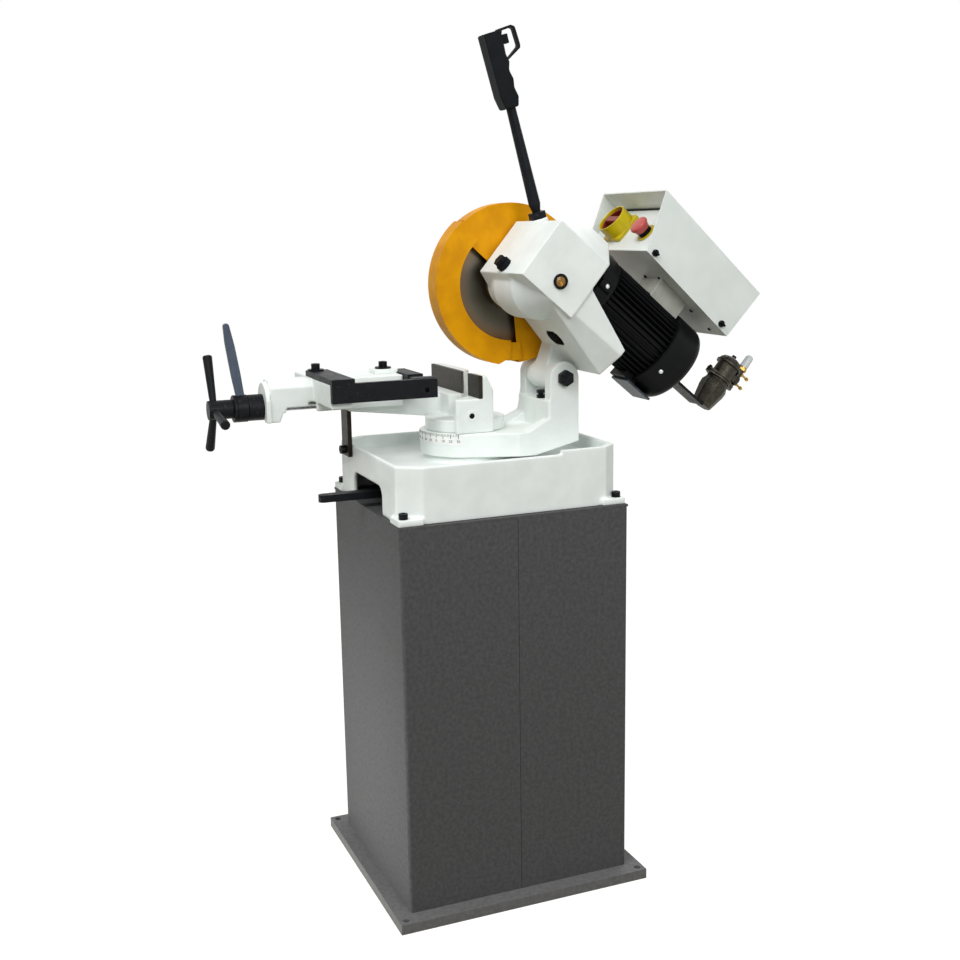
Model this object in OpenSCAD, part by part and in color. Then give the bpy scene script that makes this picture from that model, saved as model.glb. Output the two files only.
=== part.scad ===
// Cold saw on a cabinet stand: a sawing head that lowers over a screw vise and swivels on a round table.
// Origin on the floor at the middle of the floor bolt holes. +Z up, +Y to the rear, +X to the machine's right.
// The head's pieces are drawn lowered, about its pivot, and then lifted to the raised rest position.

/* [Stand] */
// Width of the cabinet, side to side
stand_w = 390; // [370:5:430]
// Depth of the cabinet, front to back
stand_d = 432; // [420:2:470]
// Height of the cabinet
stand_h = 700; // [600:10:800]
// Thickness of the cabinet sheet
stand_sheet = 3; // [2:0.5:5]
// Gap at the seam between the two cabinet halves
seam_gap = 0.8; // [0.2:0.1:0.9]
// Thickness of the sheet on top of the cabinet
top_sheet = 4; // [3:0.5:8]
// How far the floor plate stands out past the cabinet sides
floor_lip_x = 31; // [26:1:50]
// How far the floor plate stands out past the cabinet front and back
floor_lip_y = 27.5; // [24:0.5:50]
// Height of the floor plate with its folded edge
floor_h = 19; // [12:1:30]
// Thickness of the floor plate sheet
floor_sheet = 4; // [3:0.5:6]
// Distance of the floor bolt holes from the plate's edges
bolt_inset = 13; // [11:0.5:16]
// Radius of the floor bolt holes
floor_bolt_r = 6; // [4:0.5:6.5]

/* [Base tray] */
// How far the tray walls stand in from the cabinet sides
tray_in_x = 10; // [6:1:20]
// How far the tray's front wall stands in from the cabinet front
tray_in_front = 6; // [6:1:12]
// How far the tray's rear wall stands in from the cabinet back
tray_in_rear = 9; // [6:1:14]
// Height of the tray's rim at the front
tray_h = 99; // [92:1:104]
// Height of the tray's sunken floor above the cabinet
tray_floor_h = 76; // [70:1:80]
// Thickness of the tray's floor
tray_floor_t = 9; // [6:1:12]
// Thickness of the tray's walls
tray_wall = 9; // [6:1:12]
// How much higher the rim is at the rear
rim_step = 7; // [2:1:10]
// Width of the arch in the front wall
arch_w = 168; // [140:2:180]
// Height of the arch in the front wall
arch_h = 50; // [44:1:54]
// Rounding of the arch's upper corners
arch_r = 20; // [8:1:24]

/* [Swivel] */
// Place of the swivel axis, front to back
swivel_y = -18; // [-24:1:-12]
// Radius of the round table
turn_r = 83; // [78:1:90]
// Height of the round table and the arm's foot
turn_h = 43; // [38:1:48]
// Height of the round seat under the table
seat_h = 10.5; // [6:0.5:14]
// Radius of the centre post
post_r = 26; // [20:1:32]
// Outer face of the near ear
ear_near_x = 110; // [104:1:118]
// Outer face of the far ear
ear_far_x = -22; // [-28:1:-16]
// Thickness of the ears
ear_t = 24; // [18:1:28]
// Radius of the ears' round tops
ear_r = 28.5; // [26:0.5:29]
// Place of the head pivot, front to back
pivot_y = 132; // [128:1:140]
// Height of the head pivot above the round table
pivot_h = 93.2; // [88:0.2:100]
// Radius of the pivot bolt
pivot_r = 10; // [8:0.5:14]

/* [Vise] */
// Sideways place of the vise screw
vise_x = -92; // [-96:1:-88]
// Height of the vise table above the round table
vise_h = 61; // [58:1:66]
// Radius of the vise's round foot
foot_r = 73; // [66:1:80]
// Height of the vise's round foot
foot_h = 22; // [16:1:28]
// Plane of the fixed jaws' clamping faces
jaw_y = -20; // [-24:1:-18]
// Height of the jaws
jaw_h = 40.5; // [34:0.5:46]
// Thickness of the fixed jaw plates
jaw_t = 7; // [6:1:10]
// Far end of the far jaw
jaw_far_x = -167; // [-180:1:-160]
// Blade slot edge beside the far jaw
slot_far_x = -8; // [-12:1:-6]
// Blade slot edge beside the near jaw
slot_near_x = 22; // [18:1:26]
// Near end of the near jaw
jaw_near_x = 76; // [72:1:84]
// Opening between the jaws as they stand
jaw_gap = 72; // [60:1:80]
// Width of the slideway
way_w = 80; // [70:1:86]
// Reach of the slideway in front of the fixed jaws
way_len = 202; // [190:1:210]
// Radius of the vise screw
screw_r = 10; // [8:0.5:12]

/* [Blade and guards] */
// Radius of the saw blade
blade_r = 137.5; // [130:0.5:138]
// Thickness of the saw blade
blade_t = 2.5; // [1.6:0.1:3]
// Teeth on the saw blade
blade_teeth = 110; // [60:2:140]
// How far the blade axis lies in front of the pivot, head lowered
blade_reach = 153.7; // [150:0.1:158]
// How far the blade axis lies above the pivot, head lowered
blade_rise = 87.2; // [84:0.1:92]
// Lift of the head from its lowered position, in degrees
head_lift = 40; // [36:1:44]
// Outer radius of the fixed guard
guard_r = 144; // [142:0.5:144.2]
// Outer radius of the moving guard
shield_r = 147; // [147:0.5:148]
// Inner radius of the moving guard's near wall
shield_in_r = 102; // [96:1:116]
// Thickness of the guard sheet
guard_sheet = 2; // [1.5:0.1:2.4]

/* [Gearbox] */
// Blade-side face of the gearbox casting
gear_x0 = 25; // [25:0.5:28]
// Width of the gearbox casting
gear_w = 184; // [170:1:194]
// How far the casting's front lies in front of the blade axis, head lowered
gear_ahead = 65.3; // [61:0.1:72]
// Length of the gearbox block
gear_len = 120; // [112:1:124]
// Underside of the gearbox block above the pivot
gear_low = 64; // [60:1:70]
// Height of the gearbox block
gear_h = 114; // [108:1:122]
// Distance between the worm and the wheel
worm_gap = 60; // [58:0.5:64]
// Radius of the worm
worm_r = 20; // [19:0.5:21]

/* [Handle] */
// Sideways place of the handle
handle_x = 70; // [60:1:80]
// Slope of the handle, head lowered, in degrees
handle_tilt = 35; // [30:1:40]
// Radius of the handle rod at its foot
rod_r = 10.5; // [8:0.5:12]
// Length of the handle rod between the nut and the grip
rod_len = 176; // [140:1:200]
// Length of the grip
grip_len = 133; // [126:1:150]
// Depth of the grip
grip_d = 36; // [32:1:42]
// Width of the grip
grip_w = 32; // [28:1:38]

/* [Motor] */
// Sideways place of the motor axis
motor_x = 110; // [106:1:116]
// Radius over the cooling fins
fin_r = 70; // [64:1:74]
// Number of cooling fins
fin_count = 40; // [24:2:48]
// Length of the finned housing
motor_len = 195; // [170:1:210]
// Radius of the fan cover
fan_r = 77; // [74:0.5:80]
// Length of the fan cover
fan_len = 53; // [45:1:70]

/* [Electric box] */
// Width of the electric box
ebox_w = 232; // [220:1:250]
// Length of the electric box along its underside
ebox_len = 229; // [210:1:240]
// Height of the electric box
ebox_h = 102; // [94:1:110]
// Thickness of the box sheet
ebox_sheet = 2; // [1.5:0.5:3]

/* [Fits] */
// Radial clearance of running fits
run_gap = 0.05; // [0.02:0.01:0.1]
// Clearance between faces that pass each other
face_gap = 0.3; // [0.3:0.05:0.6]

/* [Hidden] */
$fn = 64;
// Overrun of every cut past the face that it opens
over = 2;
hex_sides = 6;
square_turn = 45;

// Heights, from the floor up
stand_top = floor_h + stand_h;
shell_h = stand_h - top_sheet;
well_z = stand_top + tray_floor_h;
rim_z = stand_top + tray_h;
seat_z = well_z + seat_h;
turn_z = seat_z + face_gap;
turn_top = turn_z + turn_h;
vise_z = turn_top + face_gap;
table_z = vise_z + vise_h;
jaw_top = table_z + jaw_h;
pivot_z = turn_top + pivot_h;

// Floor plate
floor_w = stand_w + 2 * floor_lip_x;
floor_d = stand_d + 2 * floor_lip_y;
floor_sleeve_r = 11;
bolt_x = floor_w / 2 - bolt_inset;
bolt_y = floor_d / 2 - bolt_inset;

// Coolant tank inside the cabinet
tank_h = 180;
tank_wall = 4;
tank_in = 40;
drain_r = 12;
drain_x = -100;
drain_y = 120;

// Tray outline, corner lugs and their bolts
tray_x = stand_w / 2 - tray_in_x;
tray_front = tray_in_front - stand_d / 2;
tray_rear = stand_d / 2 - tray_in_rear;
tray_cut_x = 28;
tray_cut_front = 42;
tray_cut_rear = 30;
rim_step_y = 90;
lug_t = 12;
lug_lip = 6;
lug_len = 46;
lug_bolt_in = 13;
m10_r = 5;
m10_head_r = 8;
m10_head_h = 10;
m10_key_r = 4.6;
m10_key_depth = 5;
m10_grip = 14;
m10_hole_r = 5.5;
seat_in = 5;
boss_r = 40;
boss_drop = 18;

// Swivel lock lever under the tray
lock_stud_r = 9;
lock_hub_r = 24;
lock_hub_h = 18;
lock_rise = 16;
lock_z = stand_top + lock_rise;
lock_reach = 282;
lock_bar_w = 30;
lock_tip_w = 20;
lock_bar_t = 13;

// Swivel arm
arm_flare_y = 43;
arm_rear = ear_r;
arm_rise_y = 75;
arm_rise = 20;
gusset_y = 60;
gusset_top_y = 107;
gusset_h = 24;
pillar_front = 100;
pillar_h = 52;
ear_draft = 24;
stop_x = 52;
stop_y = 112;
stop_r = 5;
stop_len = 26;
stop_head_r = 8;
stop_head_h = 6;
stop_nut_h = 6;
stop_shank = 9;
scale_t = 0.6;
scale_h = 20;
scale_turn = 88;
scale_start = -24;
pivot_head_r = 15;
pivot_head_h = 11;
pivot_nut_h = 12;

// Vise base
near_front_y = -64;
near_rear_y = 8;
near_back_y = -5;
near_rise = 14;
far_back = 18;
far_table_front = 26;
far_table_t = 26;
way_drop = 5;
way_t = 20;
way_heel_t = 45;
groove_w = 30;
groove_d = 17;
clamp_boss_r = 9;
clamp_boss_t = 0.8;
clamp_boss_y = -34;
clamp_boss_h = 31;
clamp_screw_r = 5;
jaw_clear = 1;
jaw_screw_r = 4;
jaw_screw_head_r = 6.5;
jaw_screw_sink = 1;
strut_shift = 10;
strut_x = vise_x - strut_shift;
strut_w = 40;
strut_t = 8;
strut_foot = 22;
strut_bolt_up = 12;

// Vise slide and its jaws
slide_sink = 3;
slide_top = jaw_top - slide_sink;
slide_wing = 12;
slide_skirt = 14;
cross_t = 38;
cross_far_x = -200;
cross_near_x = 48;
cross_reach = 264;
nose_len = 80;
nose_r = 30;
nose_chamfer = 14;
flange_t = 8;
flange_w = 70;
flange_drop = 28;
flange_dip = 4;
nose_drop = 24;
arm_t = 12;
arm_bolt_in = 15;
arm_top_t = 10;
arm_near_x = 60;
arm_top_w = 41;
arm_low = 6;
arm_pad_w = 22;
arm_pad_len = 40;
pin_r = 4.5;
pin_proud = 0.8;
far_block_near_x = -14;
far_block_w = 104;
far_block_t = 30;
far_tongue_w = 36;
far_tongue_len = 42;
far_tongue_t = 8;
washer_r = 15;
washer_t = 3;

// Vise screw, quick clamp and handwheel
screw_drop = 11;
screw_z = table_z - screw_drop;
nut_len = 40;
nut_front = 128;
nut_r = 13;
clamp_r = 23.5;
clamp_len = 28;
collar_len = 26;
collar_r = 24.5;
hub_r = 17;
hub_len = 43;
spoke_len = 100;
spoke_r = 5;
spoke_end_r = 8.5;
spoke_first = 22;
spoke_count = 3;
lever_len = 153;
lever_w = 14.5;
lever_t = 9;
lever_in = 8;
lever_lean = 8.5;

// Blade, flanges and guards
tooth_h = 1.6;
blade_bore_r = 16;
flange_r = 40;
flange_in_t = 12;
flange_out_t = 5;
blade_bolt_r = 8;
blade_bolt_head_r = 12;
blade_bolt_head_h = 6;
guard_near_x = 18;
guard_far_x = -16.3;
guard_bore_r = 30;
guard_front_a = 168;
guard_window_a = 178;
guard_rear_a = -45;
shield_start_a = 170;
shield_end_a = 299;
shield_lip_a = 308;
shield_lip_r = 133;
shield_near_x = 23;
shield_far_x = -19;
shield_sheet = 2.4;
shield_hub_r = 22;
shield_arm_w = 60;
stud_r = 12;
stud_len = 3.2;
stud_cap_r = 17;
stud_cap_t = 3;

// Gearbox casting, spindle and gears
gear_x1 = gear_x0 + gear_w;
gear_front = blade_reach + gear_ahead;
gear_rear = gear_len - gear_front;
gear_top = gear_low + gear_h;
motor_z = blade_rise + worm_gap;
tail_in = 3;
tail_rear = 20;
tail_low = 29;
tail_high = 86;
tail_step_in = 22;
tail_step_y = gear_rear - tail_step_in;
tail_step_z = 122;
tail_peak_z = 127;
tail_wall = 15;
tail_floor_z = 72;
tail_end_z = 74;
tail_round_x = 26;
belly_r = 58;
belly_half = 38;
bell_r = 80;
bell_root_r = 31;
bell_len = 12;
bell_blend = 84;
mesh_gap = 0.5;
wheel_r = worm_gap - worm_r - mesh_gap;
wheel_air = 1;
wheel_half = 16;
cavity_gap = 3;
cover_r = 46;
cover_bore_r = wheel_r + wheel_air;
cover_plug = 22;
spindle_r = 20;
bearing_r = 34;
bearing_t = 16;
barrel_r = 27;
neck_x0 = 26;
neck_w = 48;
neck_top = 46;
neck_front = -44;
neck_rear = 10;
oval_r = 16;
oval_len = 20;
oval_y = -56;
oval_x = 100;
oval_skin = 12;
cap_x = 120;
cap_z = 79;
cap_r = 13;
cap_h = 9;
cap_hex_r = 11;
cap_hex_h = 9;
cap_stub_r = 8;
glass_ahead = 2.3;
glass_y = -blade_reach - glass_ahead;
glass_z = 98.5;
glass_r = 9;
glass_ring_r = 13;
glass_ring_t = 4;
glass_t = 2;

// Handle
handle_ahead = 27.3;
handle_foot_y = -blade_reach - handle_ahead;
foot_boss_r = 17;
foot_boss_h = 28;
handle_nut_r = 15.5;
handle_nut_h = 12;
rod_tip_r = 8.5;
rod_taper = 14;
rod_neck_r = 7;
rod_root = 26;
rod_in_grip = 60;
grip_notch_r = 15;
grip_notch_depth = 7;
grip_notches = 3;
grip_notch_first = 33;
grip_notch_step = 31;
grip_heel = 10;
loop_out = 30;
loop_len = 54;
loop_t = 4;
loop_w = 16;
trigger_h = 12;
trigger_len = 16;
trigger_w = 12;
trigger_at = 118;
trigger_travel = 4;
grip_split = 0.4;

// Motor
flange_h = 14;
flange_side = 128;
fin_root_r = 61;
fin_tip_share = 0.4;
shaft_r = 12;
stator_r = 56;
stator_len = 90;
rotor_r = 36;
rotor_len = 90;
rotor_air = 0.6;
shield_plate_t = 12;
shield_lip = 1.5;
fan_blade_t = 3;
fan_blades = 8;
fan_hub_r = 20;
fan_disc_r = 62;
fan_disc_t = 4;
fan_depth = 24;
fan_off = 4;
cover_sheet = 2.5;
fan_round = 10;
motor_foot_w = 60;
motor_foot_len = 62;
motor_foot_t = 4;
motor_foot_in = 22;
motor_foot_z = 64;
terminal_w = 70;
terminal_len = 70;
terminal_gap = 2;

// Electric box and its controls
ebox_x1 = 182;
ebox_x0 = ebox_x1 - ebox_w;
ebox_y0 = -47;
ebox_z0 = 250;
ebox_tilt = 3;
ebox_hood = 43;
panel_t = 2;
switch_x = 30;
switch_up = 50;
switch_plate = 60;
switch_plate_t = 7;
switch_ring_r = 30;
switch_ring_t = 3;
switch_ring_h = 25;
knob_r = 26;
knob_h = 25;
knob_grip_w = 12;
knob_grip_h = 14;
knob_stem_r = 6;
estop_x = 131;
estop_up = 41;
estop_ring_r = 18.5;
estop_ring_t = 2;
estop_neck_r = 12.5;
estop_neck_h = 9;
estop_stem_r = 8;
estop_skirt_r = 14.5;
estop_skirt_h = 11;
estop_cap_r = 17.5;
estop_cap_h = 8;
estop_travel = 5;
wing_screw_r = 3;
wing_r = 6;
wing_t = 3;
wing_in = 14;
wing_rear_in = 26;
wing_up = 8;

// Coolant pump
pump_bracket_w = 46;
pump_bracket_len = 90;
pump_bracket_t = 5;
pump_bracket_z = 126;
pump_bracket_h = 54;
pump_out = 99;
pump_low_r = 20;
pump_low_h = 58;
pump_flange_r = 34;
pump_flange_t = 9;
pump_mid_r = 25;
pump_mid_h = 25;
pump_dome_r = 27;
pump_dome_h = 16;
pump_bolt_r = 4;
pump_bolt_h = 7;
elbow_out = 30;
elbow_r = 7;
elbow_h = 36;
pump_cap_r = 8;
pump_cap_h = 28;
barb_r = 3.5;
barb_len = 24;

// Shapes that repeat

// Draws a Y-Z outline and extrudes it along X
module along_x(x0, x1) {
    translate([x0, 0, 0]) rotate([90, 0, 90]) linear_extrude(x1 - x0) children();
}

// Draws an X-Z outline and extrudes it along Y
module along_y(y0, y1) {
    translate([0, y1, 0]) rotate([90, 0, 0]) linear_extrude(y1 - y0) children();
}

// Round bar along X
module bar_x(r, x0, x1, y, z) {
    translate([x0, y, z]) rotate([0, 90, 0]) cylinder(r = r, h = x1 - x0);
}

// Round bar along Y
module bar_y(r, y0, y1, x, z) {
    translate([x, y0, z]) rotate([-90, 0, 0]) cylinder(r = r, h = y1 - y0);
}

// Block between two corners
module block(low, high) {
    translate(low) cube(high - low);
}

// Lifts a piece drawn lowered about the pivot to the raised rest position
module head() {
    translate([0, pivot_y, pivot_z]) rotate([-head_lift, 0, 0]) children();
}

// Places a piece on the electric box, from the front lower corner of its underside
module on_box() {
    head() translate([0, ebox_y0, ebox_z0]) rotate([-ebox_tilt, 0, 0]) children();
}

// Places a piece on the handle, with +Z up the rod and +Y on the finger side
module on_handle() {
    head() translate([handle_x, handle_foot_y, gear_top]) rotate([90 - handle_tilt, 0, 0]) children();
}

// Places a piece on the pump's axis, from the bracket up
module on_pump() {
    head() translate([motor_x, pump_y, pump_bracket_z + pump_bracket_t]) children();
}

// Cap screw with a hexagon socket, head upwards, its seat at the origin
module cap_screw(r, grip, head_r, head_h, key_r, key_depth) {
    translate([0, 0, -grip]) cylinder(r = r, h = grip);
    difference() {
        cylinder(r = head_r, h = head_h);
        translate([0, 0, head_h - key_depth]) cylinder(r = key_r, h = key_depth + over, $fn = hex_sides);
    }
}

// Sector of a disc about the origin, between two angles
module sector(r, a0, a1) {
    steps = ceil((a1 - a0) / square_turn);
    far = 2 * r;
    intersection() {
        circle(r);
        polygon(concat([[0, 0]],
            [for (i = [0 : steps]) far * [cos(a0 + (a1 - a0) * i / steps), sin(a0 + (a1 - a0) * i / steps)]]));
    }
}

// Stand

module at_floor_bolts() {
    for (sx = [-1, 1], sy = [-1, 1]) translate([sx * bolt_x, sy * bolt_y, 0]) children();
}

module floor_plate() color("#454545") difference() {
    union() {
        difference() {
            block([-floor_w / 2, -floor_d / 2, 0], [floor_w / 2, floor_d / 2, floor_h]);
            block([floor_sheet - floor_w / 2, floor_sheet - floor_d / 2, -over],
                [floor_w / 2 - floor_sheet, floor_d / 2 - floor_sheet, floor_h - floor_sheet]);
        }
        at_floor_bolts() cylinder(r = floor_sleeve_r, h = floor_h - floor_sheet / 2);
    }
    at_floor_bolts() translate([0, 0, -over]) cylinder(r = floor_bolt_r, h = floor_h + 2 * over);
}

module stand_half() difference() {
    block([-stand_w / 2, -stand_d / 2, floor_h], [stand_w / 2, -seam_gap / 2, floor_h + shell_h]);
    block([stand_sheet - stand_w / 2, stand_sheet - stand_d / 2, floor_h - over],
        [stand_w / 2 - stand_sheet, over, floor_h + shell_h + over]);
}

module stand_front_shell() color("#4b4b4b") stand_half();

module stand_rear_shell() color("#4b4b4b") mirror([0, 1, 0]) stand_half();

module stand_top_sheet() color("#4b4b4b") difference() {
    block([-stand_w / 2, -stand_d / 2, stand_top - top_sheet], [stand_w / 2, stand_d / 2, stand_top]);
    at_tray_bolts() translate([0, 0, -m10_grip]) cylinder(r = m10_hole_r, h = m10_grip);
    translate([drain_x, drain_y, stand_top - top_sheet - over]) cylinder(r = drain_r, h = top_sheet + 2 * over);
}

module coolant_tank() color("#5a5d60") difference() {
    block([tank_in - stand_w / 2, tank_in - stand_d / 2, floor_h], [stand_w / 2 - tank_in, stand_d / 2 - tank_in,
        floor_h + tank_h]);
    block([tank_in + tank_wall - stand_w / 2, tank_in + tank_wall - stand_d / 2, floor_h + tank_wall],
        [stand_w / 2 - tank_in - tank_wall, stand_d / 2 - tank_in - tank_wall, floor_h + tank_h + over]);
}

// Base tray

function tray_outline(inset) = let(x = tray_x - inset, front = tray_front + inset, rear = tray_rear - inset) [
    [tray_cut_x - x, front], [x - tray_cut_x, front], [x, front + tray_cut_front],
    [x, rear - tray_cut_rear], [x - tray_cut_x, rear], [tray_cut_x - x, rear],
    [-x, rear - tray_cut_rear], [-x, front + tray_cut_front]];

// Repeats a piece on the seats of the four corner lug bolts
module at_tray_bolts() {
    for (sx = [-1, 1], y = [tray_front - lug_lip + lug_bolt_in, tray_rear + lug_lip - lug_bolt_in])
        translate([sx * (tray_x + lug_lip - lug_bolt_in), y, stand_top + lug_t]) children();
}

module corner_lugs() {
    for (sx = [-1, 1], y = [tray_front - lug_lip, tray_rear + lug_lip - lug_len])
        translate([sx * (tray_x + lug_lip - lug_len / 2) - lug_len / 2, y, stand_top])
            cube([lug_len, lug_len, lug_t]);
}

module arch_outline() {
    translate([-arch_w / 2, -over]) square([arch_w, arch_h - arch_r + over]);
    translate([arch_r - arch_w / 2, -over]) square([arch_w - 2 * arch_r, arch_h + over]);
    for (sx = [-1, 1]) translate([sx * (arch_w / 2 - arch_r), arch_h - arch_r]) circle(arch_r);
}

module tray_shell() difference() {
    union() {
        translate([0, 0, stand_top]) linear_extrude(tray_h) polygon(tray_outline(0));
        intersection() {
            translate([0, 0, stand_top]) linear_extrude(tray_h + rim_step) polygon(tray_outline(0));
            block([-stand_w, rim_step_y, stand_top], [stand_w, stand_d, rim_z + rim_step + over]);
        }
        corner_lugs();
    }
    translate([0, 0, well_z]) linear_extrude(tray_h) polygon(tray_outline(tray_wall));
    translate([0, 0, stand_top - over])
        linear_extrude(tray_floor_h - tray_floor_t + over) polygon(tray_outline(tray_wall));
}

module base_tray() color("#e9eae6") difference() {
    union() {
        tray_shell();
        translate([0, swivel_y, well_z]) cylinder(r = turn_r - seat_in, h = seat_h);
        translate([0, swivel_y, well_z - tray_floor_t - boss_drop]) cylinder(r = boss_r, h = boss_drop + tray_floor_t);
    }
    translate([0, swivel_y, stand_top]) cylinder(r = post_r + run_gap, h = turn_top - stand_top);
    translate([0, 0, stand_top]) along_y(tray_front - over, tray_front + tray_wall + over) arch_outline();
    at_tray_bolts() translate([0, 0, -lug_t - over]) cylinder(r = m10_hole_r, h = lug_t + 2 * over);
    translate([drain_x, drain_y, well_z - tray_floor_t - over]) cylinder(r = drain_r, h = tray_floor_t + 2 * over);
    bar_y(m10_hole_r, tray_front - over, tray_front + tray_wall + over, strut_x, strut_low + strut_bolt_up);
}

module tray_bolts() color("#1b1b1d") at_tray_bolts()
    cap_screw(m10_r, m10_grip, m10_head_r, m10_head_h, m10_key_r, m10_key_depth);

module swivel_post() color("#8a8d90") {
    post_low = well_z - tray_floor_t - boss_drop;
    translate([0, swivel_y, post_low]) cylinder(r = post_r, h = vise_z - post_low);
    translate([0, swivel_y, lock_z - over]) cylinder(r = lock_stud_r, h = post_low - lock_z + over);
}

module swivel_lock_lever() color("#1c1c1e") translate([0, swivel_y, lock_z]) difference() {
    union() {
        cylinder(r = lock_hub_r, h = lock_hub_h);
        linear_extrude(lock_bar_t) polygon([[-lock_bar_w / 2, 0], [lock_bar_w / 2, 0],
            [lock_tip_w / 2, lock_tip_w / 2 - lock_reach], [-lock_tip_w / 2, lock_tip_w / 2 - lock_reach]]);
        translate([0, lock_tip_w / 2 - lock_reach, 0]) cylinder(r = lock_tip_w / 2, h = lock_bar_t);
    }
    translate([0, 0, -over]) cylinder(r = lock_stud_r + run_gap, h = lock_hub_h + 2 * over);
}

// Swivel arm with its round table and clevis

module ear_outline() {
    translate([pivot_y, pivot_z]) circle(ear_r);
    translate([pivot_y - ear_r, turn_top - over]) square([ear_r + arm_rear, pivot_h + over]);
    polygon([[gusset_y, turn_top - over], [gusset_y, turn_top], [gusset_top_y, turn_top + gusset_h],
        [gusset_top_y, turn_top - over]]);
}

module arm_plan() {
    arm_end = pivot_y + arm_rear;
    translate([0, swivel_y]) circle(turn_r);
    polygon([[turn_r * cos(square_turn / 2), swivel_y - turn_r * sin(square_turn / 2)], [ear_near_x, arm_flare_y],
        [ear_near_x, arm_end], [ear_far_x - ear_draft, arm_end], [-turn_r, swivel_y], [0, swivel_y]]);
}

module swivel_arm() color("#e9eae6") difference() {
    union() {
        translate([0, 0, turn_z]) linear_extrude(turn_h) arm_plan();
        along_x(ear_near_x - ear_t, ear_near_x) ear_outline();
        intersection() {
            along_x(ear_far_x - ear_draft, ear_far_x + ear_t) ear_outline();
            along_y(0, pivot_y + stand_d) polygon([[ear_far_x + ear_t, turn_top - over],
                [ear_far_x + ear_t, pivot_z + ear_r], [ear_far_x, pivot_z + ear_r],
                [ear_far_x, pivot_z - ear_r], [ear_far_x - ear_draft, turn_top - over]]);
        }
        block([ear_far_x, pillar_front, turn_top - over], [ear_near_x - over, pivot_y + arm_rear, turn_top + pillar_h]);
    }
    translate([0, swivel_y, turn_z - over]) cylinder(r = post_r + run_gap, h = turn_h + 2 * over);
    bar_x(pivot_r + run_gap, ear_far_x - ear_draft, ear_near_x + over, pivot_y, pivot_z);
    along_x(ear_far_x - stand_w, ear_near_x + over) polygon([[arm_rise_y, turn_z - over], [arm_rise_y, turn_z],
        [pivot_y + arm_rear + over, turn_z + arm_rise], [pivot_y + arm_rear + over, turn_z - over]]);
    translate([stop_x, stop_y, turn_top]) cylinder(r = stop_r + run_gap, h = pillar_h + over);
}

module angle_scale() color("#f2f2ef") translate([0, swivel_y, turn_top - scale_h]) intersection() {
    difference() {
        cylinder(r = turn_r + scale_t, h = scale_h);
        translate([0, 0, -over]) cylinder(r = turn_r + run_gap, h = scale_h + 2 * over);
    }
    rotate([0, 0, -90 + scale_start]) linear_extrude(scale_h) sector(2 * turn_r, 0, scale_turn);
}

module pivot_bolt() color("#1b1b1d") {
    bar_x(pivot_r, ear_far_x - pivot_nut_h, ear_near_x, pivot_y, pivot_z);
    translate([ear_near_x, pivot_y, pivot_z]) rotate([0, 90, 0])
        cylinder(r = pivot_head_r, h = pivot_head_h, $fn = hex_sides);
    translate([ear_far_x - pivot_nut_h, pivot_y, pivot_z]) rotate([0, 90, 0])
        cylinder(r = pivot_head_r, h = pivot_nut_h, $fn = hex_sides);
}

module stop_screw() color("#1b1b1d") translate([stop_x, stop_y, turn_top + pillar_h]) {
    translate([0, 0, -stop_len]) cylinder(r = stop_r, h = stop_len + stop_shank + over);
    cylinder(r = stop_head_r, h = stop_nut_h, $fn = hex_sides);
    translate([0, 0, stop_shank]) cylinder(r = stop_head_r, h = stop_head_h, $fn = hex_sides);
}

// Vise base with the slideway

way_x0 = vise_x - way_w / 2;
way_x1 = vise_x + way_w / 2;
way_front = jaw_y - way_len;
way_top = table_z - way_drop;
strut_low = rim_z - strut_foot;
groove_end = jaw_y - far_table_front / 2;

module near_plan(front) polygon([[slot_near_x, jaw_y], [slot_near_x + jaw_y - front, front], [jaw_near_x, front],
    [jaw_near_x, near_rear_y], [slot_near_x, near_rear_y]]);

// The far side's edge along the slot is cut back at 45 degrees, behind the jaw face
module far_plan(front, rear) polygon([[jaw_far_x, front], [slot_far_x, front], [slot_far_x, jaw_y],
    [slot_far_x - (rear - jaw_y), rear], [jaw_far_x, rear]]);

module vise_base() color("#e9eae6") difference() {
    union() {
        translate([0, swivel_y, vise_z]) cylinder(r = foot_r, h = foot_h);
        translate([0, 0, vise_z]) linear_extrude(vise_h) near_plan(near_front_y);
        along_x(slot_near_x, jaw_near_x) polygon([[jaw_y + jaw_t, table_z - over], [jaw_y + jaw_t, jaw_top],
            [near_back_y, jaw_top], [near_rear_y, table_z + near_rise], [near_rear_y, table_z - over]]);
        translate([0, 0, table_z - far_table_t]) linear_extrude(far_table_t)
            far_plan(jaw_y - far_table_front, jaw_y + jaw_t + far_back);
        translate([0, 0, table_z - over]) linear_extrude(jaw_h + over)
            intersection() {
                far_plan(jaw_y, jaw_y + jaw_t + far_back);
                translate([jaw_far_x, jaw_y + jaw_t]) square([-jaw_far_x, far_back]);
            }
        translate([0, 0, vise_z]) linear_extrude(vise_h - far_table_t + over)
            intersection() {
                far_plan(jaw_y - far_table_front, jaw_y + jaw_t + far_back);
                translate([0, swivel_y]) circle(foot_r);
            }
        along_x(way_x0, way_x1) polygon([[way_front, way_top - way_t], [way_front, way_top],
            [jaw_y, way_top], [jaw_y, way_top - way_heel_t]]);
        bar_x(clamp_boss_r, jaw_near_x - over, jaw_near_x + clamp_boss_t, clamp_boss_y, vise_z + clamp_boss_h);
    }
    block([vise_x - groove_w / 2, way_front - over, way_top - groove_d],
        [vise_x + groove_w / 2, groove_end, table_z + over]);
    bar_x(clamp_screw_r, slot_near_x, jaw_near_x + clamp_boss_t + over, clamp_boss_y, vise_z + clamp_boss_h);
    at_jaw_screws() rotate([90, 0, 0]) translate([0, 0, -jaw_t - face_gap])
        cylinder(r = jaw_screw_r + run_gap, h = jaw_t + face_gap + over);
}

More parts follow.
